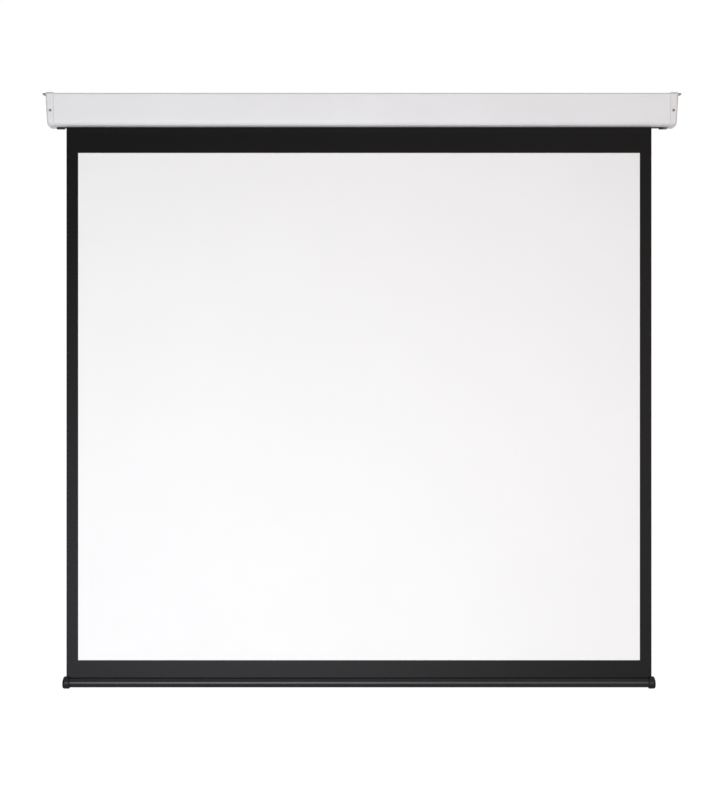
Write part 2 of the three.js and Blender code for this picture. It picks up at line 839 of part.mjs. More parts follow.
// Inside the motor tube, from the head inwards
const capacitorSpan = [0, motor.capacitorLength].map(
  (x) => x + headStart - motor.spigot - seat - motor.capacitorLength,
);
const capacitorRadius = insideRadius - motor.capacitorGap;
drive.add(mesh("run_capacitor", rod("x", capacitorRadius, capacitorSpan), looks.aluminium));
const statorEnd = capacitorSpan[0] - seat;
const statorSpan = [statorEnd - motor.statorLength, statorEnd];
const statorBore = motor.rotorRadius + motor.airGap;
drive.add(mesh("motor_stator", ring("x", insideRadius, statorBore, statorSpan), looks.copper));
const brakeEnd = statorSpan[0] - seat;
const brakeSpan = [brakeEnd - motor.brakeLength, brakeEnd];
drive.add(
  mesh(
    "motor_brake",
    ring("x", insideRadius - motor.brakeGap, motor.shaftRadius + seat, brakeSpan),
    looks.motorBlack,
  ),
);
const trainEnd = brakeSpan[0] - seat;
const trainSpan = [trainEnd - motor.trainLength, trainEnd];
const socketTool = (radius, from, to) => rod("x", radius, [from, to], [0, 0], smallSides);
drive.add(
  mesh(
    "gear_train",
    cut(
      rod("x", insideRadius, trainSpan),
      socketTool(motor.shaftRadius + seat, trainEnd - motor.socket, trainEnd + overrun),
      socketTool(gears.sunShaftRadius + seat, trainSpan[0] - overrun, trainSpan[0] + motor.socket),
    ),
    looks.steel,
  ),
);
const rotorCore = [statorSpan[0] + motor.rotorShort / 2, statorSpan[1] - motor.rotorShort / 2];
drive.add(
  mesh(
    "motor_rotor",
    turned("x", [
      [trainEnd - motor.socket + seat, 0],
      [trainEnd - motor.socket + seat, motor.shaftRadius],
      [rotorCore[0], motor.shaftRadius],
      [rotorCore[0], motor.rotorRadius],
      [rotorCore[1], motor.rotorRadius],
      [rotorCore[1], 0],
    ]),
    looks.steel,
  ),
);

// Gear teeth with involute flanks
const involute = (angle) => Math.tan(angle) - angle;
function gearOutline(teeth, rootRadius, tipRadius, halfWidth) {
  const pitchRadius = (gears.module * teeth) / 2;
  const baseRadius = pitchRadius * Math.cos(gears.pressureAngle);
  const pitchHalf = halfWidth / pitchRadius;
  const half = (radius) => {
    const pressure = Math.acos(Math.min(baseRadius / radius, 1));
    return pitchHalf + involute(gears.pressureAngle) - involute(pressure);
  };
  const flank = [];
  for (let step = 0; step <= gears.flankSteps; step += 1) {
    const radius = rootRadius + ((tipRadius - rootRadius) * step) / gears.flankSteps;
    flank.push([radius, half(radius)]);
  }
  const outline = [];
  for (let tooth = 0; tooth < teeth; tooth += 1) {
    const middle = (tooth * Math.PI * 2) / teeth;
    for (const [radius, angle] of flank) {
      outline.push([radius * Math.cos(middle - angle), radius * Math.sin(middle - angle)]);
    }
    for (const [radius, angle] of [...flank].reverse()) {
      outline.push([radius * Math.cos(middle + angle), radius * Math.sin(middle + angle)]);
    }
  }
  return outline;
}
const toothHalf = (Math.PI * gears.module) / 4;
const addendum = gears.module * gears.addendumShare;
function gearBody(teeth, span) {
  const pitchRadius = (gears.module * teeth) / 2;
  const outline = gearOutline(
    teeth,
    pitchRadius - dedendum,
    pitchRadius + addendum,
    toothHalf - gears.thinning / 2,
  );
  return prism("x", outline, span);
}

// The last gear stage: the ring gear is a cup fixed in the motor tube
const gearEnd = trainSpan[0] - gears.run;
const gearSpan = [gearEnd - gears.width, gearEnd];
const carrierEnd = gearSpan[0] - gears.run;
const carrierSpan = [carrierEnd - gears.carrierThickness, carrierEnd];
const cupInside = carrierSpan[0] - gears.run;
const cupStart = cupInside - gears.cupWall;
const ringCut = gearOutline(
  ringTeeth,
  ringPitch - gears.module * gears.ringAddendumShare,
  ringPitch + dedendum,
  toothHalf + gears.thinning / 2,
);
const halfTooth = Math.PI / ringTeeth;
const orbit = sunPitch + planetPitch;
const carrierRadius = orbit + gears.pinRadius + gears.pinEdge;
const turnedBy = (outline, angle) =>
  outline.map(([u, v]) => [
    u * Math.cos(angle) - v * Math.sin(angle),
    u * Math.sin(angle) + v * Math.cos(angle),
  ]);
const cupClear = carrierRadius + gears.run * 2;
drive.add(
  mesh(
    "ring_gear",
    cut(
      rod("x", insideRadius, [cupStart, gearEnd]),
      prism("x", turnedBy(ringCut, halfTooth), [gearSpan[0] - gears.run, gearEnd + overrun]),
      rod("x", cupClear, [cupInside, carrierEnd + gears.run]),
      rod("x", gears.shaftRadius + seat, [cupStart - overrun, cupInside + overrun]),
    ),
    looks.steel,
  ),
);
drive.add(
  mesh("motor_tube", ring("x", motorRadius, bodyBore, [cupStart, headStart - seat]), looks.motorBlack),
);

// Sun shaft: it is driven by the gear train and turns in the planets' middle
const sun = new THREE.Group();
const sunShaftEnd = trainSpan[0] + motor.socket - seat;
sun.add(
  mesh(
    "sun_shaft",
    join(
      gearBody(gears.sunTeeth, gearSpan),
      rod("x", gears.sunShaftRadius, [gearSpan[0], sunShaftEnd], [0, 0], smallSides),
    ),
    looks.brass,
  ),
);
drive.add(sun);

// Roller: it turns about this group's x axis, which runs from the fabric's middle
const rollerUnit = new THREE.Group();
rollerUnit.position.set(hangX, rollerY, rollerZ);
screenUnit.add(rollerUnit);
const local = (span) => shifted(span, -hangX);
rollerUnit.add(
  mesh("roller_tube", ring("x", rollerRadius, rollerBore, both(rollerHalf)), looks.aluminium),
);

// The fabric's turns that stay on the roller when the screen is down
function woundOutline() {
  const steps = Math.round(roundSides * roller.turns);
  const inner = [];
  const outer = [];
  for (let step = 0; step <= steps; step += 1) {
    const angle = (step / steps) * roller.turns * Math.PI * 2;
    const radius = woundStart - (woundPitch * angle) / (Math.PI * 2);
    inner.push([radius * Math.cos(angle), radius * Math.sin(angle)]);
    const back = radius + sheet.thickness;
    outer.push([back * Math.cos(angle), back * Math.sin(angle)]);
  }
  return [...outer, ...inner.reverse()];
}
rollerUnit.add(
  mesh("wound_fabric", prism("x", woundOutline(), both(sheet.width / 2)), looks.fabricBlack),
);

// Idler plug and bearing at the left end, built to the right and mirrored
const plugIn = rollerLeft - idler.plugLength;
const idlerPlugProfile = [
  [plugIn, idler.bore],
  [plugIn, fitRadius],
  [rollerLeft + seat, fitRadius],
  [rollerLeft + seat, rollerRadius],
  [idlerFlangeEnd, rollerRadius],
  [idlerFlangeEnd, idler.bearingRadius + seat],
  [bearingSpan[0] - seat, idler.bearingRadius + seat],
  [bearingSpan[0] - seat, idler.bore],
].map(([x, radius]) => [x + hangX, radius]);
rollerUnit.add(mesh("idler_plug", turned("x", idlerPlugProfile), looks.motorBlack, -1));
rollerUnit.add(
  mesh(
    "idler_bearing",
    ring("x", idler.bearingRadius, idler.pinRadius + seat, shifted(bearingSpan, hangX)),
    looks.steel,
    -1,
  ),
);

// Limit ring: it turns with the roller on the motor's tube and counts its turns
const limitRingEnd = rollerRight - seat;
const limitRingSpan = local([limitRingEnd - motor.limitRing, limitRingEnd]);
rollerUnit.add(
  mesh("limit_ring", ring("x", fitRadius, motorRadius + seat, limitRingSpan), looks.greyPlastic),
);

// Planet carrier, with three pins and the output shaft, and the drive wheel on it
const wheelEnd = cupStart - gears.run;
const wheelSpan = [wheelEnd - driveWheel.width, wheelEnd];
const planetAngles = Array.from({ length: gears.planets }, (_, i) => (i * Math.PI * 2) / gears.planets);
const planetPlaces = planetAngles.map((angle) => [orbit * Math.cos(angle), orbit * Math.sin(angle)]);
rollerUnit.add(
  mesh(
    "planet_carrier",
    join(
      rod("x", carrierRadius, local(carrierSpan)),
      rod("x", gears.shaftRadius, local([wheelSpan[0], carrierEnd]), [0, 0], gears.shaftSides),
      ...planetPlaces.map((place) =>
        rod("x", gears.pinRadius, local([carrierSpan[0], gearEnd]), place, smallSides),
      ),
    ),
    looks.steel,
  ),
);
rollerUnit.add(
  mesh(
    "drive_wheel",
    cut(
      rod("x", fitRadius, local(wheelSpan)),
      rod(
        "x",
        gears.shaftRadius + seat,
        local([wheelSpan[0] - overrun, wheelSpan[1] + overrun]),
        [0, 0],
        gears.shaftSides,
      ),
    ),
    looks.greyPlastic,
  ),
);

// Planet gears, each on its pin; a space faces the sun's tooth
const planetBore = [gearSpan[0] - overrun, gearEnd + overrun];
planetAngles.forEach((angle, i) => {
  const planet = mesh(
    `planet_gear_${i + 1}`,
    cut(
      gearBody(gears.planetTeeth, local(gearSpan)),
      rod("x", gears.pinRadius + seat, local(planetBore), [0, 0], smallSides),
    ),
    looks.brass,
  );
  planet.position.set(0, ...planetPlaces[i]);
  planet.rotation.x = angle + Math.PI + Math.PI / gears.planetTeeth;
  rollerUnit.add(planet);
});

// Screen: the black-backed sheet hangs behind the roller, with the white picture on its front
const hanging = new THREE.Group();
hanging.position.set(hangX, sheetY, 0);
screenUnit.add(hanging);
const hemZ = barZ + bar.radius - bar.wall - seat - bar.hemRadius;
hanging.add(
  mesh(
    "screen_sheet",
    block(
      both(sheet.width / 2),
      both(sheet.thickness / 2),
      [hemZ + bar.hemRadius + seat, rollerZ - seat],
    ),
    looks.fabricBlack,
  ),
);
const pictureSpan = [barZ + picture.footBorder, housingFoot - picture.headBorder];
const pictureBack = -sheet.thickness / 2 - picture.film;
hanging.add(
  mesh(
    "viewing_area",
    block(
      both(sheet.width / 2 - picture.sideBorder),
      [pictureBack - picture.thickness, pictureBack],
      pictureSpan,
    ),
    looks.fabricWhite,
  ),
);

// Weight bar: a slotted tube with the hem rod and the ballast rod inside
const weightBar = new THREE.Group();
weightBar.position.set(hangX, sheetY, barZ);
screenUnit.add(weightBar);
const barHalf = sheet.width / 2 + bar.pastSheet;
const tubeHalf = barHalf - bar.capWall - seat;
weightBar.add(
  mesh(
    "bar_tube",
    cut(
      ring("x", bar.radius, bar.radius - bar.wall, both(tubeHalf)),
      block(both(tubeHalf + overrun), both(bar.slot / 2), [0, bar.radius + overrun]),
    ),
    looks.barBlack,
  ),
);
weightBar.add(
  mesh(
    "hem_rod",
    rod("x", bar.hemRadius, both(sheet.width / 2 - bar.hemShort), [0, hemZ - barZ], smallSides),
    looks.steel,
  ),
);
const ballastFoot = -(bar.radius - bar.wall - seat);
const ballastTop = hemZ - barZ - bar.hemRadius - bar.rodGap;
const ballastRadius = (ballastTop - ballastFoot) / 2;
const ballastZ = (ballastTop + ballastFoot) / 2;
weightBar.add(
  mesh(
    "ballast_rod",
    rod("x", ballastRadius, both(tubeHalf - bar.ballastShort), [0, ballastZ], smallSides),
    looks.steel,
  ),
);

// Bar caps: cups with a sloped rim and a rounded, slightly domed end, slotted where the fabric
// reaches in
function barCapBody() {
  const open = barHalf - bar.capLength;
  const floor = tubeHalf + seat;
  const bore = bar.radius + seat;
  const capRadius = bore + bar.capSkirt;
  const shoulder = capRadius - bar.capRound;
  const round = [];
  for (let step = 0; step <= cornerSteps; step += 1) {
    const angle = (step / cornerSteps) * (Math.PI / 2);
    round.push([
      barHalf - bar.capDome - bar.capRound + bar.capRound * Math.sin(angle),
      shoulder + bar.capRound * Math.cos(angle),
    ]);
  }
  const cup = turned("x", [
    [floor, 0],
    [floor, bore],
    [open, bore],
    [open, bore + bar.capRim],
    [open + bar.capSkirt - bar.capRim, capRadius],
    ...round,
    [barHalf, 0],
  ]);
  return cut(
    cup,
    block([open - overrun, sheet.width / 2 + overrun], both(bar.slot / 2), [0, capRadius + overrun]),
  );
}
weightBar.add(mesh("bar_cap_left", barCapBody(), looks.barCap, -1));
weightBar.add(mesh("bar_cap_right", barCapBody(), looks.barCap));

export default screenUnit;
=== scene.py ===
import json
import math

import bmesh
import bpy
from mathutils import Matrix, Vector, noise

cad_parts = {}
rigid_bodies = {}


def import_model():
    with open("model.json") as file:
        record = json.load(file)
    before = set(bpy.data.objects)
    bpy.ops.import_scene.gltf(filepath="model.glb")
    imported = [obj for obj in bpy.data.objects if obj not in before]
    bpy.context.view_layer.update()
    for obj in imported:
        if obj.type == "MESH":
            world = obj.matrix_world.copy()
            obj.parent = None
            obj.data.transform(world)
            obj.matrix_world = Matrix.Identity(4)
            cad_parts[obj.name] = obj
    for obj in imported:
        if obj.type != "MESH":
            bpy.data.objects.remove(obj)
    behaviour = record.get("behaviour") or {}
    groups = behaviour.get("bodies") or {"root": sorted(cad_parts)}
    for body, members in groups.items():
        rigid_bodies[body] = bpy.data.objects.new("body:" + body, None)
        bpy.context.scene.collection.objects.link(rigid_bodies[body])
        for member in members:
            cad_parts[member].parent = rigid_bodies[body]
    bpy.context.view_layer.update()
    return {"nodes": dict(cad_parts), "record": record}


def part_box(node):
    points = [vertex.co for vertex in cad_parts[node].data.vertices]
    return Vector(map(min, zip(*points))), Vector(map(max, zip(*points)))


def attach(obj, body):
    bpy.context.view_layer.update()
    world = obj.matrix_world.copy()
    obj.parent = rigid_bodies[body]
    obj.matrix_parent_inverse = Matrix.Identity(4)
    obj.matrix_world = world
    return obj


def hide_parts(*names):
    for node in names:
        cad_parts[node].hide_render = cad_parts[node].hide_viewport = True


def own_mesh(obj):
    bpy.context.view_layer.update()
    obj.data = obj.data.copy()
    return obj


# A motorized projection screen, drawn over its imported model. Everything is in metres.
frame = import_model()
nodes = frame["nodes"]
scene = bpy.context.scene
scene.view_settings.view_transform = "Standard"
mm = 0.001
past = 10 * mm  # how far a tool runs past the piece that it cuts

# Camera: level, in front of the middle of the screen
camera = {"place": (-0.0025, -6.5202, -0.8015), "lens": 106.95, "sensor": 36.0}
bpy.ops.object.camera_add(location=camera["place"], rotation=(math.radians(90), 0, 0))
scene.camera = bpy.context.object
scene.camera.data.lens = camera["lens"]
scene.camera.data.sensor_width = camera["sensor"]
print("camera set")


# Modelling helpers

def middleOf(node):
    low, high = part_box(node)
    return (low + high) / 2


def settle():
    if bpy.context.object and bpy.context.object.mode != "OBJECT":
        bpy.ops.object.mode_set(mode="OBJECT")
    bpy.ops.object.select_all(action="DESELECT")


def take(piece):
    settle()
    piece.select_set(True)
    bpy.context.view_layer.objects.active = piece


def fixPlace(piece):
    # the place, turn and size go into the mesh, as in a CAD node
    take(piece)
    bpy.ops.object.transform_apply(location=True, rotation=True, scale=True)
    return piece


def addBlock(name, low, high):
    settle()
    middle = [(a + b) / 2 for a, b in zip(low, high)]
    size = [b - a for a, b in zip(low, high)]
    bpy.ops.mesh.primitive_cube_add(size=1, location=middle, scale=size)
    bpy.context.object.name = name
    return fixPlace(bpy.context.object)


def addRound(name, axis, radius, span, at, sides=64, far=None):
    # a cylinder along an axis, or a cone where far gives the radius at the end of the span
    settle()
    turn = {"x": (0, math.pi / 2, 0), "y": (-math.pi / 2, 0, 0), "z": (0, 0, 0)}[axis]
    along = (span[0] + span[1]) / 2
    place = {"x": (along, *at), "y": (at[0], along, at[1]), "z": (*at, along)}[axis]
    bpy.ops.mesh.primitive_cone_add(
        vertices=sides, radius1=radius, radius2=radius if far is None else far,
        depth=span[1] - span[0], location=place, rotation=turn,
    )
    bpy.context.object.name = name
    return fixPlace(bpy.context.object)


def edit(piece):
    take(piece)
    bpy.ops.object.mode_set(mode="EDIT")
    bpy.ops.mesh.select_all(action="DESELECT")


def pick(kind, test):
    # selects the vertices, edges or faces whose middle and element pass the test
    bpy.ops.mesh.select_all(action="DESELECT")
    bpy.ops.mesh.select_mode(type={"verts": "VERT", "edges": "EDGE", "faces": "FACE"}[kind])
    mesh = bpy.context.edit_object.data
    shape = bmesh.from_edit_mesh(mesh)
    shape.normal_update()
    for part in getattr(shape, kind):
        if kind == "verts":
            middle = part.co
        elif kind == "edges":
            middle = (part.verts[0].co + part.verts[1].co) / 2
        else:
            middle = part.calc_center_median()
        if test(middle, part):
            part.select_set(True)
    shape.select_flush_mode()
    bmesh.update_edit_mesh(mesh)


def runsAlong(edge, axis):
    way = edge.verts[1].co - edge.verts[0].co
    return abs(way["xyz".index(axis)]) > 0.9 * way.length


def near(a, b, within=0.2 * mm):
    return abs(a - b) < within


def bisectAll(point, normal):
    bpy.ops.mesh.select_all(action="SELECT")
    bpy.ops.mesh.bisect(plane_co=point, plane_no=normal)


def modify(piece, kind, **settings):
    take(piece)
    change = piece.modifiers.new(kind.lower(), kind)
    for key, value in settings.items():
        setattr(change, key, value)
    bpy.ops.object.modifier_apply(modifier=change.name)


def cutAway(piece, *tools):
    for tool in tools:
        modify(piece, "BOOLEAN", object=tool, operation="DIFFERENCE", solver="EXACT")
        bpy.data.objects.remove(tool)


def joinOn(piece, *others):
    for other in others:
        modify(piece, "BOOLEAN", object=other, operation="UNION", solver="EXACT")
        bpy.data.objects.remove(other)
    return piece


def roundEdges(piece, rounds, segments=6):
    # rounds the edges that each test picks, each by its own radius, in one go
    widest = max(radius for _, radius in rounds)
    edit(piece)
    mesh = piece.data
    shape = bmesh.from_edit_mesh(mesh)
    layers = shape.edges.layers.float
    weight = layers.get("bevel_weight_edge") or layers.new("bevel_weight_edge")
    for edge in shape.edges:
        edge[weight] = 0
        middle = (edge.verts[0].co + edge.verts[1].co) / 2
        for test, radius in rounds:
            if test(middle, edge):
                edge[weight] = radius / widest
    bmesh.update_edit_mesh(mesh)
    settle()
    modify(piece, "BEVEL", width=widest, segments=segments, limit_method="WEIGHT",
           use_clamp_overlap=False, miter_outer="MITER_ARC")


def softenEdges(piece, width, segments=2, angle=40):
    modify(piece, "BEVEL", width=width, segments=segments, limit_method="ANGLE",
           angle_limit=math.radians(angle), use_clamp_overlap=True, harden_normals=False)


def shadeSmooth(piece, angle):
    take(piece)
    bpy.ops.object.shade_smooth_by_angle(angle=math.radians(angle))


def smooth(piece, angle=32):
    shadeSmooth(piece, angle)
    modify(piece, "WEIGHTED_NORMAL", keep_sharp=True, weight=60)


def copyOf(piece, name, mirror=False, shift=None):
    take(piece)
    bpy.ops.object.duplicate(linked=False)
    twin = bpy.context.object
    twin.name = name
    if shift:
        bpy.ops.transform.translate(value=shift)
    if mirror:
        twin.scale = (-1, 1, 1)
    fixPlace(twin)
    if mirror:
        edit(twin)
        bpy.ops.mesh.select_all(action="SELECT")
        bpy.ops.mesh.flip_normals()
        settle()
    return twin


# Material helpers

def linear(colour):
    # sRGB hex to the linear values that shaders take
    parts = [int(colour[i:i + 2], 16) / 255 for i in (1, 3, 5)]
    return (*[c / 12.92 if c <= 0.04045 else ((c + 0.055) / 1.055) ** 2.4 for c in parts], 1.0)


def addNode(tree, kind, links=None, **settings):
    # links gives each input a value or another node's socket; settings are the node's own
    node = tree.nodes.new("ShaderNode" + kind)
    for key, value in settings.items():
        setattr(node, key, value)
    for key, value in (links or {}).items():
        if isinstance(value, bpy.types.NodeSocket):
            tree.links.new(value, node.inputs[key])
        else:
            node.inputs[key].default_value = value
    return node


def startMaterial(name, **shader):
    # a fresh material with its shader, set plainly
    material = bpy.data.materials.new(name)
    material.use_nodes = True
    tree = material.node_tree
    tree.nodes.clear()
    bsdf = addNode(tree, "BsdfPrincipled", shader)
    addNode(tree, "OutputMaterial", {"Surface": bsdf.outputs["BSDF"]})
    return material, tree, bsdf


def linkPatterns(tree, bsdf, tint, rough=None, bump=None):
    # the tint and the roughness run from one value to another with a pattern,
    # and the bump follows a pattern to a depth, by a strength
    factor, low, high = tint
    mix = addNode(tree, "Mix", {"Factor": factor, 6: linear(low), 7: linear(high)}, data_type="RGBA")
    tree.links.new(mix.outputs[2], bsdf.inputs["Base Color"])
    if rough:
        factor, low, high = rough
        spread = addNode(tree, "MapRange", {"Value": factor, "To Min": low, "To Max": high})
        tree.links.new(spread.outputs["Result"], bsdf.inputs["Roughness"])
    if bump:
        height, depth, strength = bump
        relief = addNode(tree, "Bump", {"Height": height, "Distance": depth, "Strength": strength})
        tree.links.new(relief.outputs["Normal"], bsdf.inputs["Normal"])


# Powder-coated steel: a sprayed, baked coat. A faint orange peel breaks up its satin gloss.
def makePowderCoat(name, colour, shade, roughness):
    material, tree, bsdf = startMaterial(name, Roughness=roughness, IOR=1.5)
    place = addNode(tree, "TexCoord").outputs["Object"]
    peel = addNode(tree, "TexNoise", {"Vector": place, "Scale": 1 / (2.2 * mm), "Detail": 2.0})
    cloud = addNode(tree, "TexNoise", {"Vector": place, "Scale": 1 / (220 * mm), "Detail": 3.0})
    tone = addNode(tree, "MapRange", {"Value": cloud.outputs["Fac"], "To Min": -0.4, "To Max": 1.4})
    linkPatterns(tree, bsdf, tint=(tone.outputs["Result"], shade, colour),
                 rough=(cloud.outputs["Fac"], roughness - 0.05, roughness + 0.05),
                 bump=(peel.outputs["Fac"], 0.03 * mm, 0.5))
    return material


# Moulded ABS or nylon: a spark-eroded mould leaves a fine even grain, drawn 0.6 mm coarse
def makeMoulded(name, colour, shade, roughness, level=0.5):
    grain = 0.6 * mm
    material, tree, bsdf = startMaterial(name, Roughness=roughness, IOR=1.53)
    bsdf.inputs["Specular IOR Level"].default_value = level
    place = addNode(tree, "TexCoord").outputs["Object"]
    pits = addNode(tree, "TexVoronoi", {"Vector": place, "Scale": 1 / grain}, feature="SMOOTH_F1")
    cloud = addNode(tree, "TexNoise", {"Vector": place, "Scale": 1 / (30 * mm), "Detail": 4.0})
    linkPatterns(tree, bsdf, tint=(cloud.outputs["Fac"], shade, colour),
                 rough=(cloud.outputs["Fac"], roughness - 0.06, roughness + 0.06),
                 bump=(pits.outputs["Distance"], 0.02 * mm, 0.6))
    return material


# Rubber: matt, with a dusty bloom in soft patches
def makeRubber(name, colour, bloom):
    material, tree, bsdf = startMaterial(name, Roughness=0.75, IOR=1.52)
    place = addNode(tree, "TexCoord").outputs["Object"]
    patches = addNode(tree, "TexNoise", {"Vector": place, "Scale": 1 / (9 * mm), "Detail": 5.0})
    skin = addNode(tree, "TexNoise", {"Vector": place, "Scale": 1 / (0.5 * mm), "Detail": 2.0})
    linkPatterns(tree, bsdf, tint=(patches.outputs["Fac"], colour, bloom),
                 bump=(skin.outputs["Fac"], 0.03 * mm, 0.6))
    return material


# Metal drawn, rolled or turned along or around X: fine lines that follow how it was made
def makeLinedMetal(name, colour, shade, roughness, pitch, around=False):
    material, tree, bsdf = startMaterial(name, Roughness=roughness, Metallic=1.0)
    place = addNode(tree, "TexCoord").outputs["Object"]
    across, along = 1 / pitch, 1 / ((40 if around else 60) * pitch)
    stretch = (across, along, along) if around else (along, across, across)
    lines = addNode(tree, "Mapping", {"Vector": place, "Scale": stretch})
    drawn = addNode(tree, "TexNoise", {"Vector": lines.outputs["Vector"], "Scale": 1.0, "Detail": 3.0})
    cloud = addNode(tree, "TexNoise", {"Vector": place, "Scale": 1 / (25 * mm), "Detail": 4.0})
    linkPatterns(tree, bsdf, tint=(cloud.outputs["Fac"], shade, colour),
                 rough=(drawn.outputs["Fac"], roughness - 0.1, roughness + 0.12),
                 bump=(drawn.outputs["Fac"], 0.02 * mm, 0.4))
    return material


# Zinc-plated steel: bluish grey, with the faint crystal patches of the plating
def makeZinc(name):
    material, tree, bsdf = startMaterial(name, Roughness=0.38, Metallic=1.0)
    place = addNode(tree, "TexCoord").outputs["Object"]
    crystals = addNode(tree, "TexVoronoi", {"Vector": place, "Scale": 1 / (5 * mm), "Randomness": 1.0})
    haze = addNode(tree, "TexNoise", {"Vector": place, "Scale": 1 / (18 * mm), "Detail": 6.0})
    facet = addNode(tree, "SeparateColor", {"Color": crystals.outputs["Color"]})
    mixed = addNode(tree, "Math", {0: facet.outputs["Red"], 1: haze.outputs["Fac"]}, operation="MULTIPLY")
    linkPatterns(tree, bsdf, tint=(mixed.outputs["Value"], "#8c9095", "#b2b5b9"),
                 rough=(facet.outputs["Red"], 0.3, 0.46), bump=(haze.outputs["Fac"], 0.04 * mm, 0.4))
    return material


# Enamelled copper wire, wound round the stator and varnished: turns 0.8 mm apart
def makeWinding(name):
    material, tree, bsdf = startMaterial(name, Roughness=0.35, Metallic=0.8)
    place = addNode(tree, "TexCoord").outputs["Object"]
    pitch = 0.8 * mm
    bandsPerUnit = 3.2  # about what a wave texture makes at scale 1
    turns = addNode(tree, "TexWave", {"Vector": place, "Scale": 1 / (pitch * bandsPerUnit),
                                      "Distortion": 0.6, "Detail": 1.0},
                    wave_type="BANDS", bands_direction="X")
    linkPatterns(tree, bsdf, tint=(turns.outputs["Fac"], "#6d3a1f", "#c27a4a"),
                 bump=(turns.outputs["Fac"], 0.3 * mm, 0.7))
    return material


# Coated screen cloth: glass-fibre weave under a soft PVC coat. The weave only just shows through.
def makeScreenCloth(name, colour, shade, roughness, depth, level=0.5):
    # level is the shine of the coat: low on the black, which is thin and open
    material, tree, bsdf = startMaterial(name, Roughness=roughness)
    bsdf.inputs["Specular IOR Level"].default_value = level
    place = addNode(tree, "UVMap", uv_map="cloth").outputs["UV"]
    thread = 1.0 * mm  # drawn twice as coarse as the real 0.5 mm, to show at all
    bandWidth = 0.314  # of a wave texture at scale 1
    warp, weft = (
        addNode(tree, "TexWave", {"Vector": place, "Scale": bandWidth / thread, "Distortion": 0.4},
                wave_type="BANDS", bands_direction=way).outputs["Fac"] for way in "XY")
    weave = addNode(tree, "Math", {0: warp, 1: weft}, operation="MULTIPLY")
    grain = addNode(tree, "TexNoise", {"Vector": place, "Scale": 1 / (2.5 * mm), "Detail": 3.0})
    cloud = addNode(tree, "TexNoise", {"Vector": place, "Scale": 1 / (350 * mm), "Detail": 3.0})
    height = addNode(tree, "Math", {0: weave.outputs["Value"], 1: grain.outputs["Fac"]}, operation="ADD")
    linkPatterns(tree, bsdf, tint=(cloud.outputs["Fac"], shade, colour),
                 bump=(height.outputs["Value"], depth, 0.35))
    return material


# Anodised aluminium tube, dyed black: extrusion lines run along it
def makeAnodised(name):
    material, tree, bsdf = startMaterial(name, Roughness=0.3, IOR=1.55)
    bsdf.inputs["Specular IOR Level"].default_value = 0.3  # the dyed skin drinks some of the shine
    place = addNode(tree, "TexCoord").outputs["Object"]
    along, across = 1 / (250 * mm), 1 / (0.7 * mm)
    lines = addNode(tree, "Mapping", {"Vector": place, "Scale": (along, across, across)})
    drawn = addNode(tree, "TexNoise", {"Vector": lines.outputs["Vector"], "Scale": 1.0, "Detail": 3.0})
    cloud = addNode(tree, "TexNoise", {"Vector": place, "Scale": 1 / (90 * mm), "Detail": 4.0})
    linkPatterns(tree, bsdf, tint=(cloud.outputs["Fac"], "#101113", "#191a1c"),
                 rough=(drawn.outputs["Fac"], 0.3, 0.42), bump=(drawn.outputs["Fac"], 0.01 * mm, 0.2))
    return material


# One finish for each material slot. The screws' phosphate coat is as dull as powder coat.
finishes = {
    "housing_steel": makePowderCoat("powderCoatedSteel", "#d7d7d8", "#d1d1d2", 0.42),
    "cap_plastic": makeMoulded("mouldedAbs", "#d5d4d3", "#cfcecd", 0.45),
    "plated_steel": makeZinc("zincPlatedSteel"),
    "bare_steel": makeLinedMetal("turnedSteel", "#b3b5b8", "#94979b", 0.34, 0.35 * mm, around=True),
    "black_screw": makePowderCoat("phosphatedSteel", "#858587", "#747476", 0.5),
    "black_rubber": makeRubber("blackRubber", "#101011", "#1c1c1e"),
    "grey_plastic": makeMoulded("greyBrownPvc", "#6c645d", "#5c554f", 0.6),
    "black_plastic": makeMoulded("extrudedBlackPvc", "#232325", "#19191a", 0.5),
    "green_plastic": makeMoulded("greenNylon", "#55745f", "#47644f", 0.5),
    "motor_black": makePowderCoat("blackMotorEnamel", "#2b2c2f", "#1f2023", 0.4),
    "copper_winding": makeWinding("varnishedCopperWinding"),
    "brass": makeLinedMetal("turnedBrass", "#c9a657", "#ad8a40", 0.3, 0.25 * mm, around=True),
    "aluminium": makeLinedMetal("extrudedAluminium", "#c9ccd0", "#b2b6ba", 0.33, 0.5 * mm),
    "sheet_black": makeScreenCloth("blackScreenCloth", "#0b0b0c", "#080809", 0.42, 0.12 * mm, level=0.11),
    "sheet_white": makeScreenCloth("mattWhiteScreenCloth", "#eaeae9", "#e6e6e5", 0.85, 0.08 * mm),
    "bar_black": makeAnodised("blackAnodisedAluminium"),
    "bar_cap_plastic": makeMoulded("mouldedBlackNylon", "#111213", "#0b0c0d", 0.5, level=0.28),
}
print("materials made")


def dress(piece, slotName):
    piece.data.materials.clear()
    piece.data.materials.append(finishes[slotName])
    for face in piece.data.polygons:
        face.material_index = 0


slotOf = {entry["node"]: entry["material_slot"] for entry in frame["record"]["subparts"]}
for nodeName, node in nodes.items():
    dress(node, slotOf[nodeName])


def handOver(piece, body, slotName, *replaced):
    # the piece takes its finish, rides on its body and stands for its nodes
    dress(piece, slotName)
    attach(piece, body)
    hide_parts(*replaced)


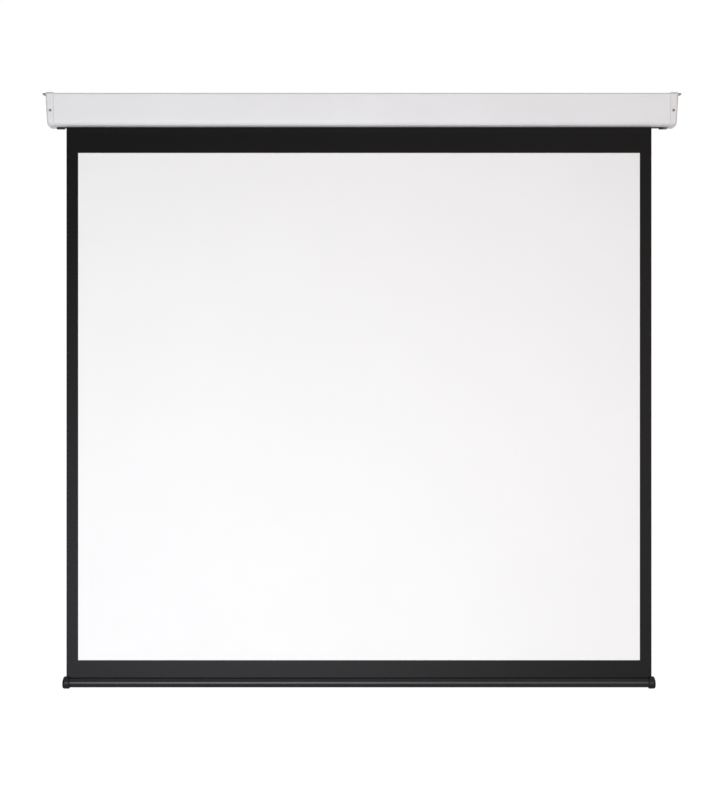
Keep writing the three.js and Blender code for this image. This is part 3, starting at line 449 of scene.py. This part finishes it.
# Housing: one steel sheet rolled into a box that is open along its foot
housing = {
    "lean": 12 * mm, "wall": 1.5 * mm,
    "frontTop": 5 * mm, "frontFoot": 12 * mm, "rearTop": 3 * mm, "rearFoot": 4 * mm,
    "slot": (-29.2 * mm, -11.2 * mm), "notchFrom": 828.7 * mm, "notchDepth": 2.5 * mm,
    "notchFoot": -16.6 * mm, "backEnd": 833.7 * mm,
}
housingLow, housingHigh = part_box("housing_shell")
shell = addBlock("housingShell", housingLow, housingHigh)
edit(shell)
pick("verts", lambda at, _: near(at.y, housingLow.y) and near(at.z, housingLow.z))
bpy.ops.transform.translate(value=(0, housing["lean"], 0))
footY = housingLow.y + housing["lean"]
for y, z, radius in (
    (housingLow.y, housingHigh.z, housing["frontTop"]), (footY, housingLow.z, housing["frontFoot"]),
    (housingHigh.y, housingHigh.z, housing["rearTop"]), (housingHigh.y, housingLow.z, housing["rearFoot"]),
):
    pick("edges", lambda at, edge: runsAlong(edge, "x") and near(at.y, y) and near(at.z, z))
    bpy.ops.mesh.bevel(offset=radius, segments=8, profile=0.5, affect="EDGES", clamp_overlap=False)
pick("faces", lambda at, face: abs(face.normal.x) > 0.9)
bpy.ops.mesh.delete(type="FACE")
for y in housing["slot"]:
    bisectAll((0, y, 0), (0, 1, 0))
pick("faces", lambda at, face: face.normal.z < -0.9 and housing["slot"][0] < at.y < housing["slot"][1])
bpy.ops.mesh.delete(type="FACE")
bisectAll((0, -housing["notchDepth"], 0), (0, 1, 0))
for side in (-1, 1):
    bisectAll((side * housing["notchFrom"], 0, 0), (1, 0, 0))
    bisectAll((side * housing["backEnd"], 0, 0), (1, 0, 0))
bisectAll((0, 0, housing["notchFoot"]), (0, 0, 1))
# the back is cut away for the bracket legs, and below them for the caps
pick("faces", lambda at, _: at.y > -housing["notchDepth"] and (
    abs(at.x) > housing["backEnd"] or abs(at.x) > housing["notchFrom"] and at.z > housing["notchFoot"]))
bpy.ops.mesh.delete(type="FACE")
settle()
modify(shell, "SOLIDIFY", thickness=housing["wall"], offset=-1, use_even_offset=True)
smooth(shell)
handOver(shell, "housing", "housing_steel", "housing_shell")
print("housing made")

# Trims: an extruded channel over each edge of the slot
trim = {"wall": 1.2 * mm, "round": 0.35 * mm}
for side in ("front", "rear"):
    low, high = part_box(f"slot_trim_{side}")
    tipY = low.y if side == "front" else high.y
    strip = addBlock(f"slotTrim{side.title()}", low, high)
    edit(strip)
    pick("faces", lambda at, face: abs(face.normal.x) > 0.9 or near(at.y, tipY))
    bpy.ops.mesh.delete(type="FACE")
    settle()
    modify(strip, "SOLIDIFY", thickness=trim["wall"], offset=-1, use_even_offset=True)
    softenEdges(strip, trim["round"])
    smooth(strip)
    handOver(strip, "housing", "black_plastic", f"slot_trim_{side}")

# End caps: a moulded cup with a drafted end, slipped over the housing.
# The rear radii are those of the back's edges, at the top and at the foot.
cap = {
    "lip": 2.2 * mm, "draft": 4 * mm, "edge": 4.8 * mm, "rear": (5.2 * mm, 6.2 * mm),
    "inset": 1.5 * mm, "wall": 3 * mm, "rearWall": 2.2 * mm,
    "hollowDraft": 3.6 * mm, "hollowRear": (1.5 * mm, 2.5 * mm),
    "seat": 0.3 * mm, "seatRear": (1 * mm, 1 * mm),
    "slopeWide": 3 * mm, "slopeTall": 1.9 * mm,
    "legHalf": 11.3 * mm, "legDeep": 2.3 * mm, "legFoot": -16.3 * mm,
    "headHole": 3.9 * mm, "headDeep": 1.9 * mm, "shankHole": 2.05 * mm, "shankEnd": -60 * mm,
    "screwHole": 2.3 * mm, "grommetHole": 7.3 * mm,
}
capLow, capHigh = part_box("end_cap_right")


def leaningBlock(name, grow, span, draft, rearY, rear, outer):
    # the housing's section, grown by a distance, along a span of x, with its back at rearY
    start, end = span
    slope = housing["lean"] / (housingHigh.z - housingLow.z)
    footZ, topZ = housingLow.z - grow, housingHigh.z + grow
    frontAt = lambda z: housingLow.y + slope * (housingHigh.z - z) - grow * math.hypot(1, slope)
    farFront = -1
    block = addBlock(name, (start, farFront, footZ), (end, rearY, topZ))
    edit(block)
    for z in (footZ, topZ):
        # the front edges come back from far in front to the housing's slope
        pick("verts", lambda at, _: near(at.y, farFront) and near(at.z, z))
        bpy.ops.transform.translate(value=(0, frontAt(z) - farFront, 0))
    pick("verts", lambda at, _: near(at.x, end) and near(at.z, footZ))
    bpy.ops.transform.translate(value=(-draft, 0, 0))
    settle()
    middleY = (housingLow.y + housingHigh.y) / 2
    roundEdges(block, [
        (lambda at, e, front=front, z=z: runsAlong(e, "x") and (at.y < middleY) == front and near(at.z, z),
         radius)
        for front, z, radius in (
            (True, topZ, housing["frontTop"] + grow), (True, footZ, housing["frontFoot"] + grow),
            (False, topZ, rear[0]), (False, footZ, rear[1]),
        )
    ], segments=8)
    if outer:
        # then all round the outer end
        roundEdges(block, [(lambda at, e: any(face.normal.x > 0.9 for face in e.link_faces), outer)],
                   segments=8)
    return block


rightCap = leaningBlock("endCapRight", cap["lip"], (capLow.x, capHigh.x),
                        cap["draft"], 0, cap["rear"], cap["edge"])
edit(rightCap)  # the rim slopes down to the housing
pick("faces", lambda at, face: face.normal.x < -0.9 and near(at.x, capLow.x))
bpy.ops.mesh.inset(thickness=cap["slopeTall"])
pick("verts", lambda at, v: near(at.x, capLow.x) and any(
    e.other_vert(v).co.x > capLow.x + 1 * mm for e in v.link_edges))
bpy.ops.transform.translate(value=(cap["slopeWide"], 0, 0))
settle()
hollow = leaningBlock("capHollow", -cap["inset"], (capLow.x - past, capHigh.x - cap["wall"]),
                      cap["hollowDraft"], -cap["rearWall"], cap["hollowRear"], 0)
socket = leaningBlock("capSocket", cap["seat"], (capLow.x - past, housingHigh.x + cap["seat"]),
                      0, -cap["rearWall"], cap["seatRear"], 0)
legX = housingHigh.x
legSlot = addBlock("legSlot", (legX - 2 * past, -cap["legDeep"], cap["legFoot"]),
                   (legX + cap["legHalf"], past, capHigh.z + past))
cutAway(rightCap, hollow, socket, legSlot)

screwFront, screwEnd = (corner.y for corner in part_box("cap_screw_right"))
screwX, _, screwZ = middleOf("cap_screw_right")
headHole = addRound("headHole", "y", cap["headHole"],
                    (screwFront - past, screwFront + cap["headDeep"]), (screwX, screwZ), sides=48)
shankHole = addRound("shankHole", "y", cap["shankHole"], (screwFront, cap["shankEnd"]),
                     (screwX, screwZ), sides=32)
cutAway(rightCap, headHole, shankHole)
for row in ("front", "rear"):
    at = middleOf(f"bracket_screw_right_{row}").xy
    cutAway(rightCap, addRound("screwHole", "z", cap["screwHole"], (0, capHigh.z + past), at, sides=32))
leftCap = copyOf(rightCap, "endCapLeft", mirror=True)
grommetAt = middleOf("cable_grommet")
cutAway(rightCap, addRound("grommetHole", "x", cap["grommetHole"], (grommetAt.x - past, grommetAt.x + past),
                           (grommetAt.y, grommetAt.z), sides=48))
for piece, node in ((rightCap, "end_cap_right"), (leftCap, "end_cap_left")):
    smooth(piece)
    handOver(piece, "housing", "cap_plastic", node)
print("end caps made")

# Cable grommet: a rubber ring with a lip on each side of the cap's wall, tilted as the wall is
grommet = {"lip": 9 * mm, "half": 3.3 * mm, "neck": 7 * mm, "neckHalf": 1.8 * mm, "bore": 4 * mm,
           "round": 0.6 * mm, "tilt": 2.327}


def grommetRound(name, radius, half):
    return addRound(name, "x", radius, (grommetAt.x - half, grommetAt.x + half), (grommetAt.y, grommetAt.z))


ring = grommetRound("cableGrommet", grommet["lip"], grommet["half"])
groove = grommetRound("groove", grommet["lip"] + past, grommet["neckHalf"])
cutAway(groove, grommetRound("core", grommet["neck"], grommet["half"]))
cutAway(ring, groove, grommetRound("bore", grommet["bore"], past))
softenEdges(ring, grommet["round"], segments=3)
edit(ring)
bpy.ops.mesh.select_all(action="SELECT")
bpy.ops.transform.rotate(value=-math.radians(grommet["tilt"]), orient_axis="Y", center_override=grommetAt)
settle()
smooth(ring)
handOver(ring, "housing", "black_rubber", "cable_grommet")

# Brackets: a plate above the cap and a leg down its back, pressed from 2 mm steel
bracket = {
    "plate": 2 * mm, "overhang": 15 * mm, "corner": 10 * mm, "edge": 0.25 * mm,
    "legHalf": 11 * mm, "legCorner": 5 * mm,
    "keyHead": 4.5 * mm, "keyHeadZ": -7 * mm, "keyNeck": 2.5 * mm, "keyTopZ": 0,
    "hole": 3.3 * mm, "holeY": (-13 * mm, -33 * mm),
    "screwHole": 2.3 * mm, "sink": 4.1 * mm, "sinkDeep": 1.8 * mm,
}
low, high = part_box("bracket_right")
plate = addBlock("bracketRight", (low.x, low.y, high.z - bracket["plate"]), high)
roundEdges(plate, [(lambda at, e: runsAlong(e, "z") and not (near(at.x, low.x) and near(at.y, high.y)),
                    bracket["corner"])])
leg = addBlock("bracketLeg", (legX - bracket["legHalf"], -bracket["plate"], low.z),
               (legX + bracket["legHalf"], 0, high.z))
roundEdges(leg, [(lambda at, e: runsAlong(e, "y") and near(at.z, low.z), bracket["legCorner"])])
joinOn(plate, leg)
keyHead = addRound("keyHead", "y", bracket["keyHead"], (-past, past), (legX, bracket["keyHeadZ"]), sides=48)
keySlot = addBlock("keySlot", (legX - bracket["keyNeck"], -past, bracket["keyHeadZ"]),
                   (legX + bracket["keyNeck"], past, bracket["keyTopZ"]))
keyTop = addRound("keyTop", "y", bracket["keyNeck"], (-past, past), (legX, bracket["keyTopZ"]), sides=48)
through = (high.z - past, high.z + past)
holeX = high.x - bracket["overhang"] / 2
holes = [addRound("ceilingHole", "z", bracket["hole"], through, (holeX, y), sides=48)
         for y in bracket["holeY"]]
cutAway(plate, joinOn(keyHead, keySlot, keyTop), *holes)
for row in ("front", "rear"):
    at = middleOf(f"bracket_screw_right_{row}").xy
    sink = addRound("sink", "z", bracket["screwHole"], (high.z - bracket["sinkDeep"], high.z), at,
                    sides=48, far=bracket["sink"])
    throat = addRound("throat", "z", bracket["screwHole"], through, at, sides=48)
    cutAway(plate, joinOn(sink, throat))
softenEdges(plate, bracket["edge"])
leftBracket = copyOf(plate, "bracketLeft", mirror=True)
for piece, node in ((plate, "bracket_right"), (leftBracket, "bracket_left")):
    smooth(piece)
    handOver(piece, "housing", "plated_steel", node)
print("brackets made")

# Cap screws: pan heads with a cross recess, whose arms narrow inwards
capScrew = {"head": 3.6 * mm, "tall": 1.6 * mm, "dome": 0.7 * mm, "shank": 1.75 * mm, "shankFrom": 1 * mm,
            "cross": 4.2 * mm, "slot": 1.0 * mm, "above": 2 * mm, "deep": 1.1 * mm, "taper": 0.6}
head = addRound("capScrewRight", "y", capScrew["head"], (screwFront, screwFront + capScrew["tall"]),
                (screwX, screwZ), sides=48)
edit(head)
pick("edges", lambda at, e: all(near(v.co.y, screwFront) for v in e.verts))
bpy.ops.mesh.bevel(offset=capScrew["dome"], segments=5, affect="EDGES")
settle()
joinOn(head, addRound("shank", "y", capScrew["shank"], (screwFront + capScrew["shankFrom"], screwEnd),
                      (screwX, screwZ), sides=32))
half, slotHalf = capScrew["cross"] / 2, capScrew["slot"] / 2
for wide, tall in ((half, slotHalf), (slotHalf, half)):
    arm = addBlock("arm", (screwX - wide, screwFront - capScrew["above"], screwZ - tall),
                   (screwX + wide, screwFront + capScrew["deep"], screwZ + tall))
    edit(arm)
    pick("verts", lambda at, _: at.y > screwFront)
    bpy.ops.transform.resize(value=(capScrew["taper"], 1, capScrew["taper"]),
                             center_override=(screwX, screwFront, screwZ))
    cutAway(head, arm)
leftScrew = copyOf(head, "capScrewLeft", mirror=True)
for piece, node in ((head, "cap_screw_right"), (leftScrew, "cap_screw_left")):
    smooth(piece)
    handOver(piece, "housing", "black_screw", node)

# Bracket screws: countersunk heads with a cross recess, one copied to every place
sunkScrew = {"head": 3.8 * mm, "shank": 2 * mm, "cone": 1.8 * mm, "shankFrom": 1 * mm,
             "cross": 4 * mm, "slot": 0.9 * mm, "above": 2 * mm, "deep": 1.2 * mm, "taper": 0.6,
             "round": 0.12 * mm}
foot, top = (corner.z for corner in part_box("bracket_screw_right_front"))
firstX, firstY, _ = middleOf("bracket_screw_right_front")
screw = addRound("bracketScrew", "z", sunkScrew["shank"], (top - sunkScrew["cone"], top),
                 (firstX, firstY), sides=48, far=sunkScrew["head"])
joinOn(screw, addRound("threaded", "z", sunkScrew["shank"], (foot, top - sunkScrew["shankFrom"]),
                       (firstX, firstY), sides=48))
half, slotHalf = sunkScrew["cross"] / 2, sunkScrew["slot"] / 2
for wide, deep in ((half, slotHalf), (slotHalf, half)):
    arm = addBlock("arm", (firstX - wide, firstY - deep, top - sunkScrew["deep"]),
                   (firstX + wide, firstY + deep, top + sunkScrew["above"]))
    edit(arm)
    pick("verts", lambda at, _: at.z < top)
    bpy.ops.transform.resize(value=(sunkScrew["taper"], sunkScrew["taper"], 1),
                             center_override=(firstX, firstY, top))
    cutAway(screw, arm)
softenEdges(screw, sunkScrew["round"])
for side in ("right", "left"):
    for row in ("front", "rear"):
        node = f"bracket_screw_{side}_{row}"
        at = middleOf(node)
        piece = copyOf(screw, f"bracketScrew{side.title()}{row.title()}",
                       shift=(at.x - firstX, at.y - firstY, 0))
        smooth(piece)
        handOver(piece, "housing", "bare_steel", node)
bpy.data.objects.remove(screw)
print("screws made")

# Slot plugs: soft blocks that fill the ends of the slot, with a flange inside
plug = {"flangeFoot": -54.2 * mm, "neck": 17.4 * mm, "round": 0.8 * mm}
for side, slotName in (("left", "black_rubber"), ("right", "black_rubber"), ("grey", "grey_plastic")):
    node = f"slot_plug_{side}"
    low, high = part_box(node)
    neckY = (low.y + high.y - plug["neck"]) / 2
    block = addBlock(f"slotPlug{side.title()}", (low.x, low.y, plug["flangeFoot"]), high)
    neck = addBlock("neck", (low.x, neckY, low.z), (high.x, neckY + plug["neck"], high.z - 1 * mm))
    joinOn(block, neck)
    edit(block)
    pick("edges", lambda at, e: at.z < plug["flangeFoot"] - 1 * mm)
    bpy.ops.mesh.bevel(offset=plug["round"], segments=4, affect="EDGES")
    settle()
    smooth(block)
    handOver(block, "housing", slotName, node)
print("plugs made")

# Screen: one sheet of coated cloth, black all round a white picture, hung from the roller to the bar
sheet = {
    "thickness": 0.45 * mm, "columns": 100, "rows": 96, "smooth": 40,
    "wave": 0.9 * mm, "back": 0.8, "fade": 1.6,
    # for each of its waves: how fast they follow each other across and down, a start and a share
    "waves": ((1.9, 0.55, 3.1, 1), (5.0, 0.9, 7.7, 0.5)),
    "flat": (1.6, 1.549), "roomForBar": 1.4954,  # the bar's way up, and 0.4 mm more
}
low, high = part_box("screen_sheet")
whiteLow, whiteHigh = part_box("viewing_area")
settle()
bpy.ops.mesh.primitive_grid_add(
    x_subdivisions=sheet["columns"], y_subdivisions=sheet["rows"], size=1,
    location=(low + high) / 2, rotation=(math.pi / 2, 0, 0),
)
cloth = bpy.context.object
cloth.scale = (high.x - low.x, high.z - low.z, 1)
fixPlace(cloth)
cloth.name = "screenSheet"
edit(cloth)
for x in (whiteLow.x, whiteHigh.x):
    bisectAll((x, 0, 0), (1, 0, 0))
for z in (whiteLow.z, whiteHigh.z):
    bisectAll((0, 0, z), (0, 0, 1))
settle()
cloth.data.uv_layers[0].name = "cloth"
for loop in cloth.data.loops:
    at = cloth.data.vertices[loop.vertex_index].co
    cloth.data.uv_layers["cloth"].data[loop.index].uv = (at.x, at.z)
for vertex in cloth.data.vertices:
    # broad, slight waves, all of them backwards, that fade out where the roller and the bar hold the cloth
    x, z = vertex.co.x, vertex.co.z
    down = min(max((high.z - z) / (high.z - low.z), 0), 1)
    free = math.sin(math.pi * down) ** sheet["fade"]
    swing = sum(share * noise.noise((x * across, z * along, start))
                for across, along, start, share in sheet["waves"])
    vertex.co.y += sheet["wave"] * free * max(sheet["back"] + swing, 0)
# The border below the picture goes up and down with the bar; the rest stays with the housing
edit(cloth)
pick("faces", lambda at, _: at.z < whiteLow.z)
bpy.ops.mesh.separate(type="SELECTED")
settle()
hem = next(piece for piece in scene.objects if piece.name.startswith("screenSheet.") and piece != cloth)
hem.name = "lowerBorder"
for piece in (cloth, hem):
    modify(piece, "SOLIDIFY", thickness=sheet["thickness"], offset=0, use_even_offset=True)
handOver(cloth, "housing", "sheet_black", "screen_sheet", "viewing_area")
dress(hem, "sheet_black")
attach(hem, "weight_bar")
cloth.data.materials.append(finishes["sheet_white"])
white = 0
for face in cloth.data.polygons:
    x, _, z = face.center
    if face.normal.y < -0.5 and whiteLow.x < x < whiteHigh.x and whiteLow.z < z < whiteHigh.z:
        face.material_index = 1
        white += 1
for piece in (cloth, hem):
    shadeSmooth(piece, sheet["smooth"])
print("screen sheet made:", white, "white faces of", len(cloth.data.polygons))

# The turns that stay wound on the roller
wound = {"turns": 1.7, "start": 26.575 * mm, "pitch": 0.75 * mm, "steps": 220}
low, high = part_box("wound_fabric")
axis = middleOf("roller_tube")
settle()
bpy.ops.mesh.primitive_grid_add(x_subdivisions=1, y_subdivisions=wound["steps"], size=1)
roll = bpy.context.object
roll.name = "woundSheet"
roll.data.uv_layers[0].name = "cloth"
distance = {}
for vertex in roll.data.vertices:
    # rolls the strip up, from the place where the hanging sheet leaves the roller
    angle = (vertex.co.y + 0.5) * wound["turns"] * math.tau
    radius = wound["start"] - wound["pitch"] * angle / math.tau + sheet["thickness"] / 2
    distance[vertex.index] = angle * (wound["start"] - wound["pitch"] * angle / math.tau / 2)
    x = low.x if vertex.co.x < 0 else high.x
    vertex.co = (x, axis.y + radius * math.cos(angle), axis.z + radius * math.sin(angle))
for loop in roll.data.loops:
    x = roll.data.vertices[loop.vertex_index].co.x
    roll.data.uv_layers["cloth"].data[loop.index].uv = (x, distance[loop.vertex_index])
modify(roll, "SOLIDIFY", thickness=sheet["thickness"], offset=0, use_even_offset=True)
shadeSmooth(roll, sheet["smooth"])
handOver(roll, "roller", "sheet_black", "wound_fabric")

# Weight bar: a black tube, open in a slot along its top where the sheet goes in
bar = {"radius": 13.5 * mm, "wall": 1.5 * mm, "slot": 3 * mm, "sides": 96, "short": 1.8 * mm}
low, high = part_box("bar_tube")
barAxis = ((low.y + high.y) / 2, low.z + bar["radius"])
# its ends stop short in the caps, whose own ends lean in over them
tube = addRound("barTube", "x", bar["radius"], (low.x + bar["short"], high.x - bar["short"]),
                barAxis, sides=bar["sides"])
edit(tube)
pick("faces", lambda at, face: abs(face.normal.x) > 0.9)
bpy.ops.mesh.delete(type="FACE")
for side in (-1, 1):
    bisectAll((0, barAxis[0] + side * bar["slot"] / 2, 0), (0, 1, 0))
pick("faces", lambda at, face: at.z > barAxis[1] and abs(at.y - barAxis[0]) < bar["slot"] / 2)
bpy.ops.mesh.delete(type="FACE")
settle()
modify(tube, "SOLIDIFY", thickness=bar["wall"], offset=-1, use_even_offset=True)
smooth(tube, angle=30)
handOver(tube, "weight_bar", "bar_black", "bar_tube")

# Bar caps: a sloped rim, a well rounded end with a slight dome, and a slot for the sheet
barCap = {"radius": 17 * mm, "bore": 13.8 * mm, "slope": 2.7 * mm, "round": 6 * mm, "dome": 1.2 * mm,
          "domeInset": 3.825 * mm, "domeShares": (0.75, 0.25), "short": 0.6 * mm, "lean": 6, "clear": 1 * mm}
low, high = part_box("bar_cap_right")
outerX = high.x - barCap["dome"] - barCap["short"]
cup = addRound("barCapRight", "x", barCap["radius"], (low.x, outerX), barAxis, sides=bar["sides"])
edit(cup)
pick("edges", lambda at, e: all(near(v.co.x, outerX) for v in e.verts))
bpy.ops.mesh.bevel(offset=barCap["round"], segments=10, affect="EDGES")
pick("edges", lambda at, e: all(near(v.co.x, low.x) for v in e.verts))
bpy.ops.mesh.bevel(offset=barCap["slope"], segments=1, affect="EDGES")
pick("faces", lambda at, face: near(at.x, outerX, 0.005 * mm))  # the flat end alone, not the round
for share in barCap["domeShares"]:
    bpy.ops.mesh.inset(thickness=barCap["domeInset"])
    bpy.ops.transform.translate(value=(barCap["dome"] * share, 0, 0))
pick("verts", lambda at, _: at.x > outerX - barCap["round"] - 0.1 * mm)  # the end leans in towards the top
bpy.ops.transform.rotate(value=math.radians(barCap["lean"]), orient_axis="Y",
                         center_override=(outerX - barCap["round"], *barAxis))
settle()
inside = addRound("inside", "x", barCap["bore"], (low.x - past, outerX - barCap["round"] / 2),
                  barAxis, sides=bar["sides"])
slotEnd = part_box("screen_sheet")[1].x + barCap["clear"]
opening = addBlock("opening", (low.x - past, barAxis[0] - bar["slot"] / 2, barAxis[1]),
                   (slotEnd, barAxis[0] + bar["slot"] / 2, barAxis[1] + barCap["radius"] + past))
cutAway(cup, inside, opening)
# mirrored about the middle of the sheet, which hangs a little to the left
leftCup = copyOf(cup, "barCapLeft", mirror=True, shift=(2 * middleOf("screen_sheet").x, 0, 0))
for piece, node in ((cup, "bar_cap_right"), (leftCup, "bar_cap_left")):
    smooth(piece, angle=35)
    handOver(piece, "weight_bar", "bar_cap_plastic", node)
print("weight bar made")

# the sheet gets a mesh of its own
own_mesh(cloth)

# Floor: plain and pale. It ends 0.8 m behind the screen, just below the lower edge of the picture.
ground = {"height": -2.05, "wide": 14.0, "deep": 10.0, "back": 0.8}
settle()
bpy.ops.mesh.primitive_plane_add(size=1, location=(0, ground["back"] - ground["deep"] / 2, ground["height"]))
floor = bpy.context.object
floor.name = "floor"
floor.scale = (ground["wide"], ground["deep"], 1)
fixPlace(floor)
paper, tree, bsdf = startMaterial("paleStudioFloor", Roughness=0.9)
place = addNode(tree, "TexCoord").outputs["Object"]
clouds = addNode(tree, "TexNoise", {"Vector": place, "Scale": 1 / (1250 * mm), "Detail": 3.0})
linkPatterns(tree, bsdf, tint=(clouds.outputs["Fac"], "#d6d6d6", "#dddddd"))
floor.data.materials.append(paper)

# Light: a cool panel low on the left and a narrower strip nearer the screen, which draw the shine
# along the bar, and a large, dim and warmer panel behind the camera on the right.
# The room is dim, with a white backdrop behind the screen and a pale ceiling.
panels = {
    "keyPanel": {"place": (-0.9, -4.4, -1.62), "aim": (-0.1, 0, -1.0), "wide": 2.0, "tall": 0.7,
                 "power": 69, "colour": "#f3f6ff"},
    "fillPanel": {"place": (2.0, -7.0, -1.0), "aim": (0.2, 0, -0.9), "wide": 3.0, "tall": 2.0,
                  "power": 133, "colour": "#fff2e6"},
    "lowStrip": {"place": (-0.42, -3.0, -1.75), "aim": (-0.4, 0, -1.6), "wide": 1.2, "tall": 0.5,
                 "power": 30, "colour": "#f6f8ff"},
}
for name, panel in panels.items():
    settle()
    turn = (Vector(panel["aim"]) - Vector(panel["place"])).to_track_quat("-Z", "Y").to_euler()
    bpy.ops.object.light_add(type="AREA", location=panel["place"], rotation=turn)
    lamp = bpy.context.object
    lamp.name = name
    lamp.data.shape = "RECTANGLE"
    lamp.data.size, lamp.data.size_y = panel["wide"], panel["tall"]
    lamp.data.energy = panel["power"]
    lamp.data.color = linear(panel["colour"])[:3]
# how bright each is, and from which to which slant of view the backdrop and the ceiling come in
room = {"dim": 0.1, "backdrop": 1.02, "edge": (0.75, 0.92), "ceiling": 0.64, "slant": (0.35, 0.95)}
world = bpy.data.worlds.new("studio")
scene.world = world
world.use_nodes = True
tree = world.node_tree
way = addNode(tree, "SeparateXYZ", {"Vector": addNode(tree, "TexCoord").outputs["Generated"]})
glow = addNode(tree, "MapRange", {
    "Value": way.outputs["Y"], "From Min": room["edge"][0], "From Max": room["edge"][1],
    "To Min": room["dim"], "To Max": room["backdrop"],
}, interpolation_type="SMOOTHSTEP")
above = addNode(tree, "MapRange", {
    "Value": way.outputs["Z"], "From Min": room["slant"][0], "From Max": room["slant"][1],
    "To Min": 0.0, "To Max": room["ceiling"],
}, interpolation_type="SMOOTHSTEP")
total = addNode(tree, "Math", {0: glow.outputs["Result"], 1: above.outputs["Result"]}, operation="ADD")
tree.nodes["Background"].inputs["Color"].default_value = (1, 1, 1, 1)
tree.links.new(total.outputs["Value"], tree.nodes["Background"].inputs["Strength"])
print("light set")

settle()
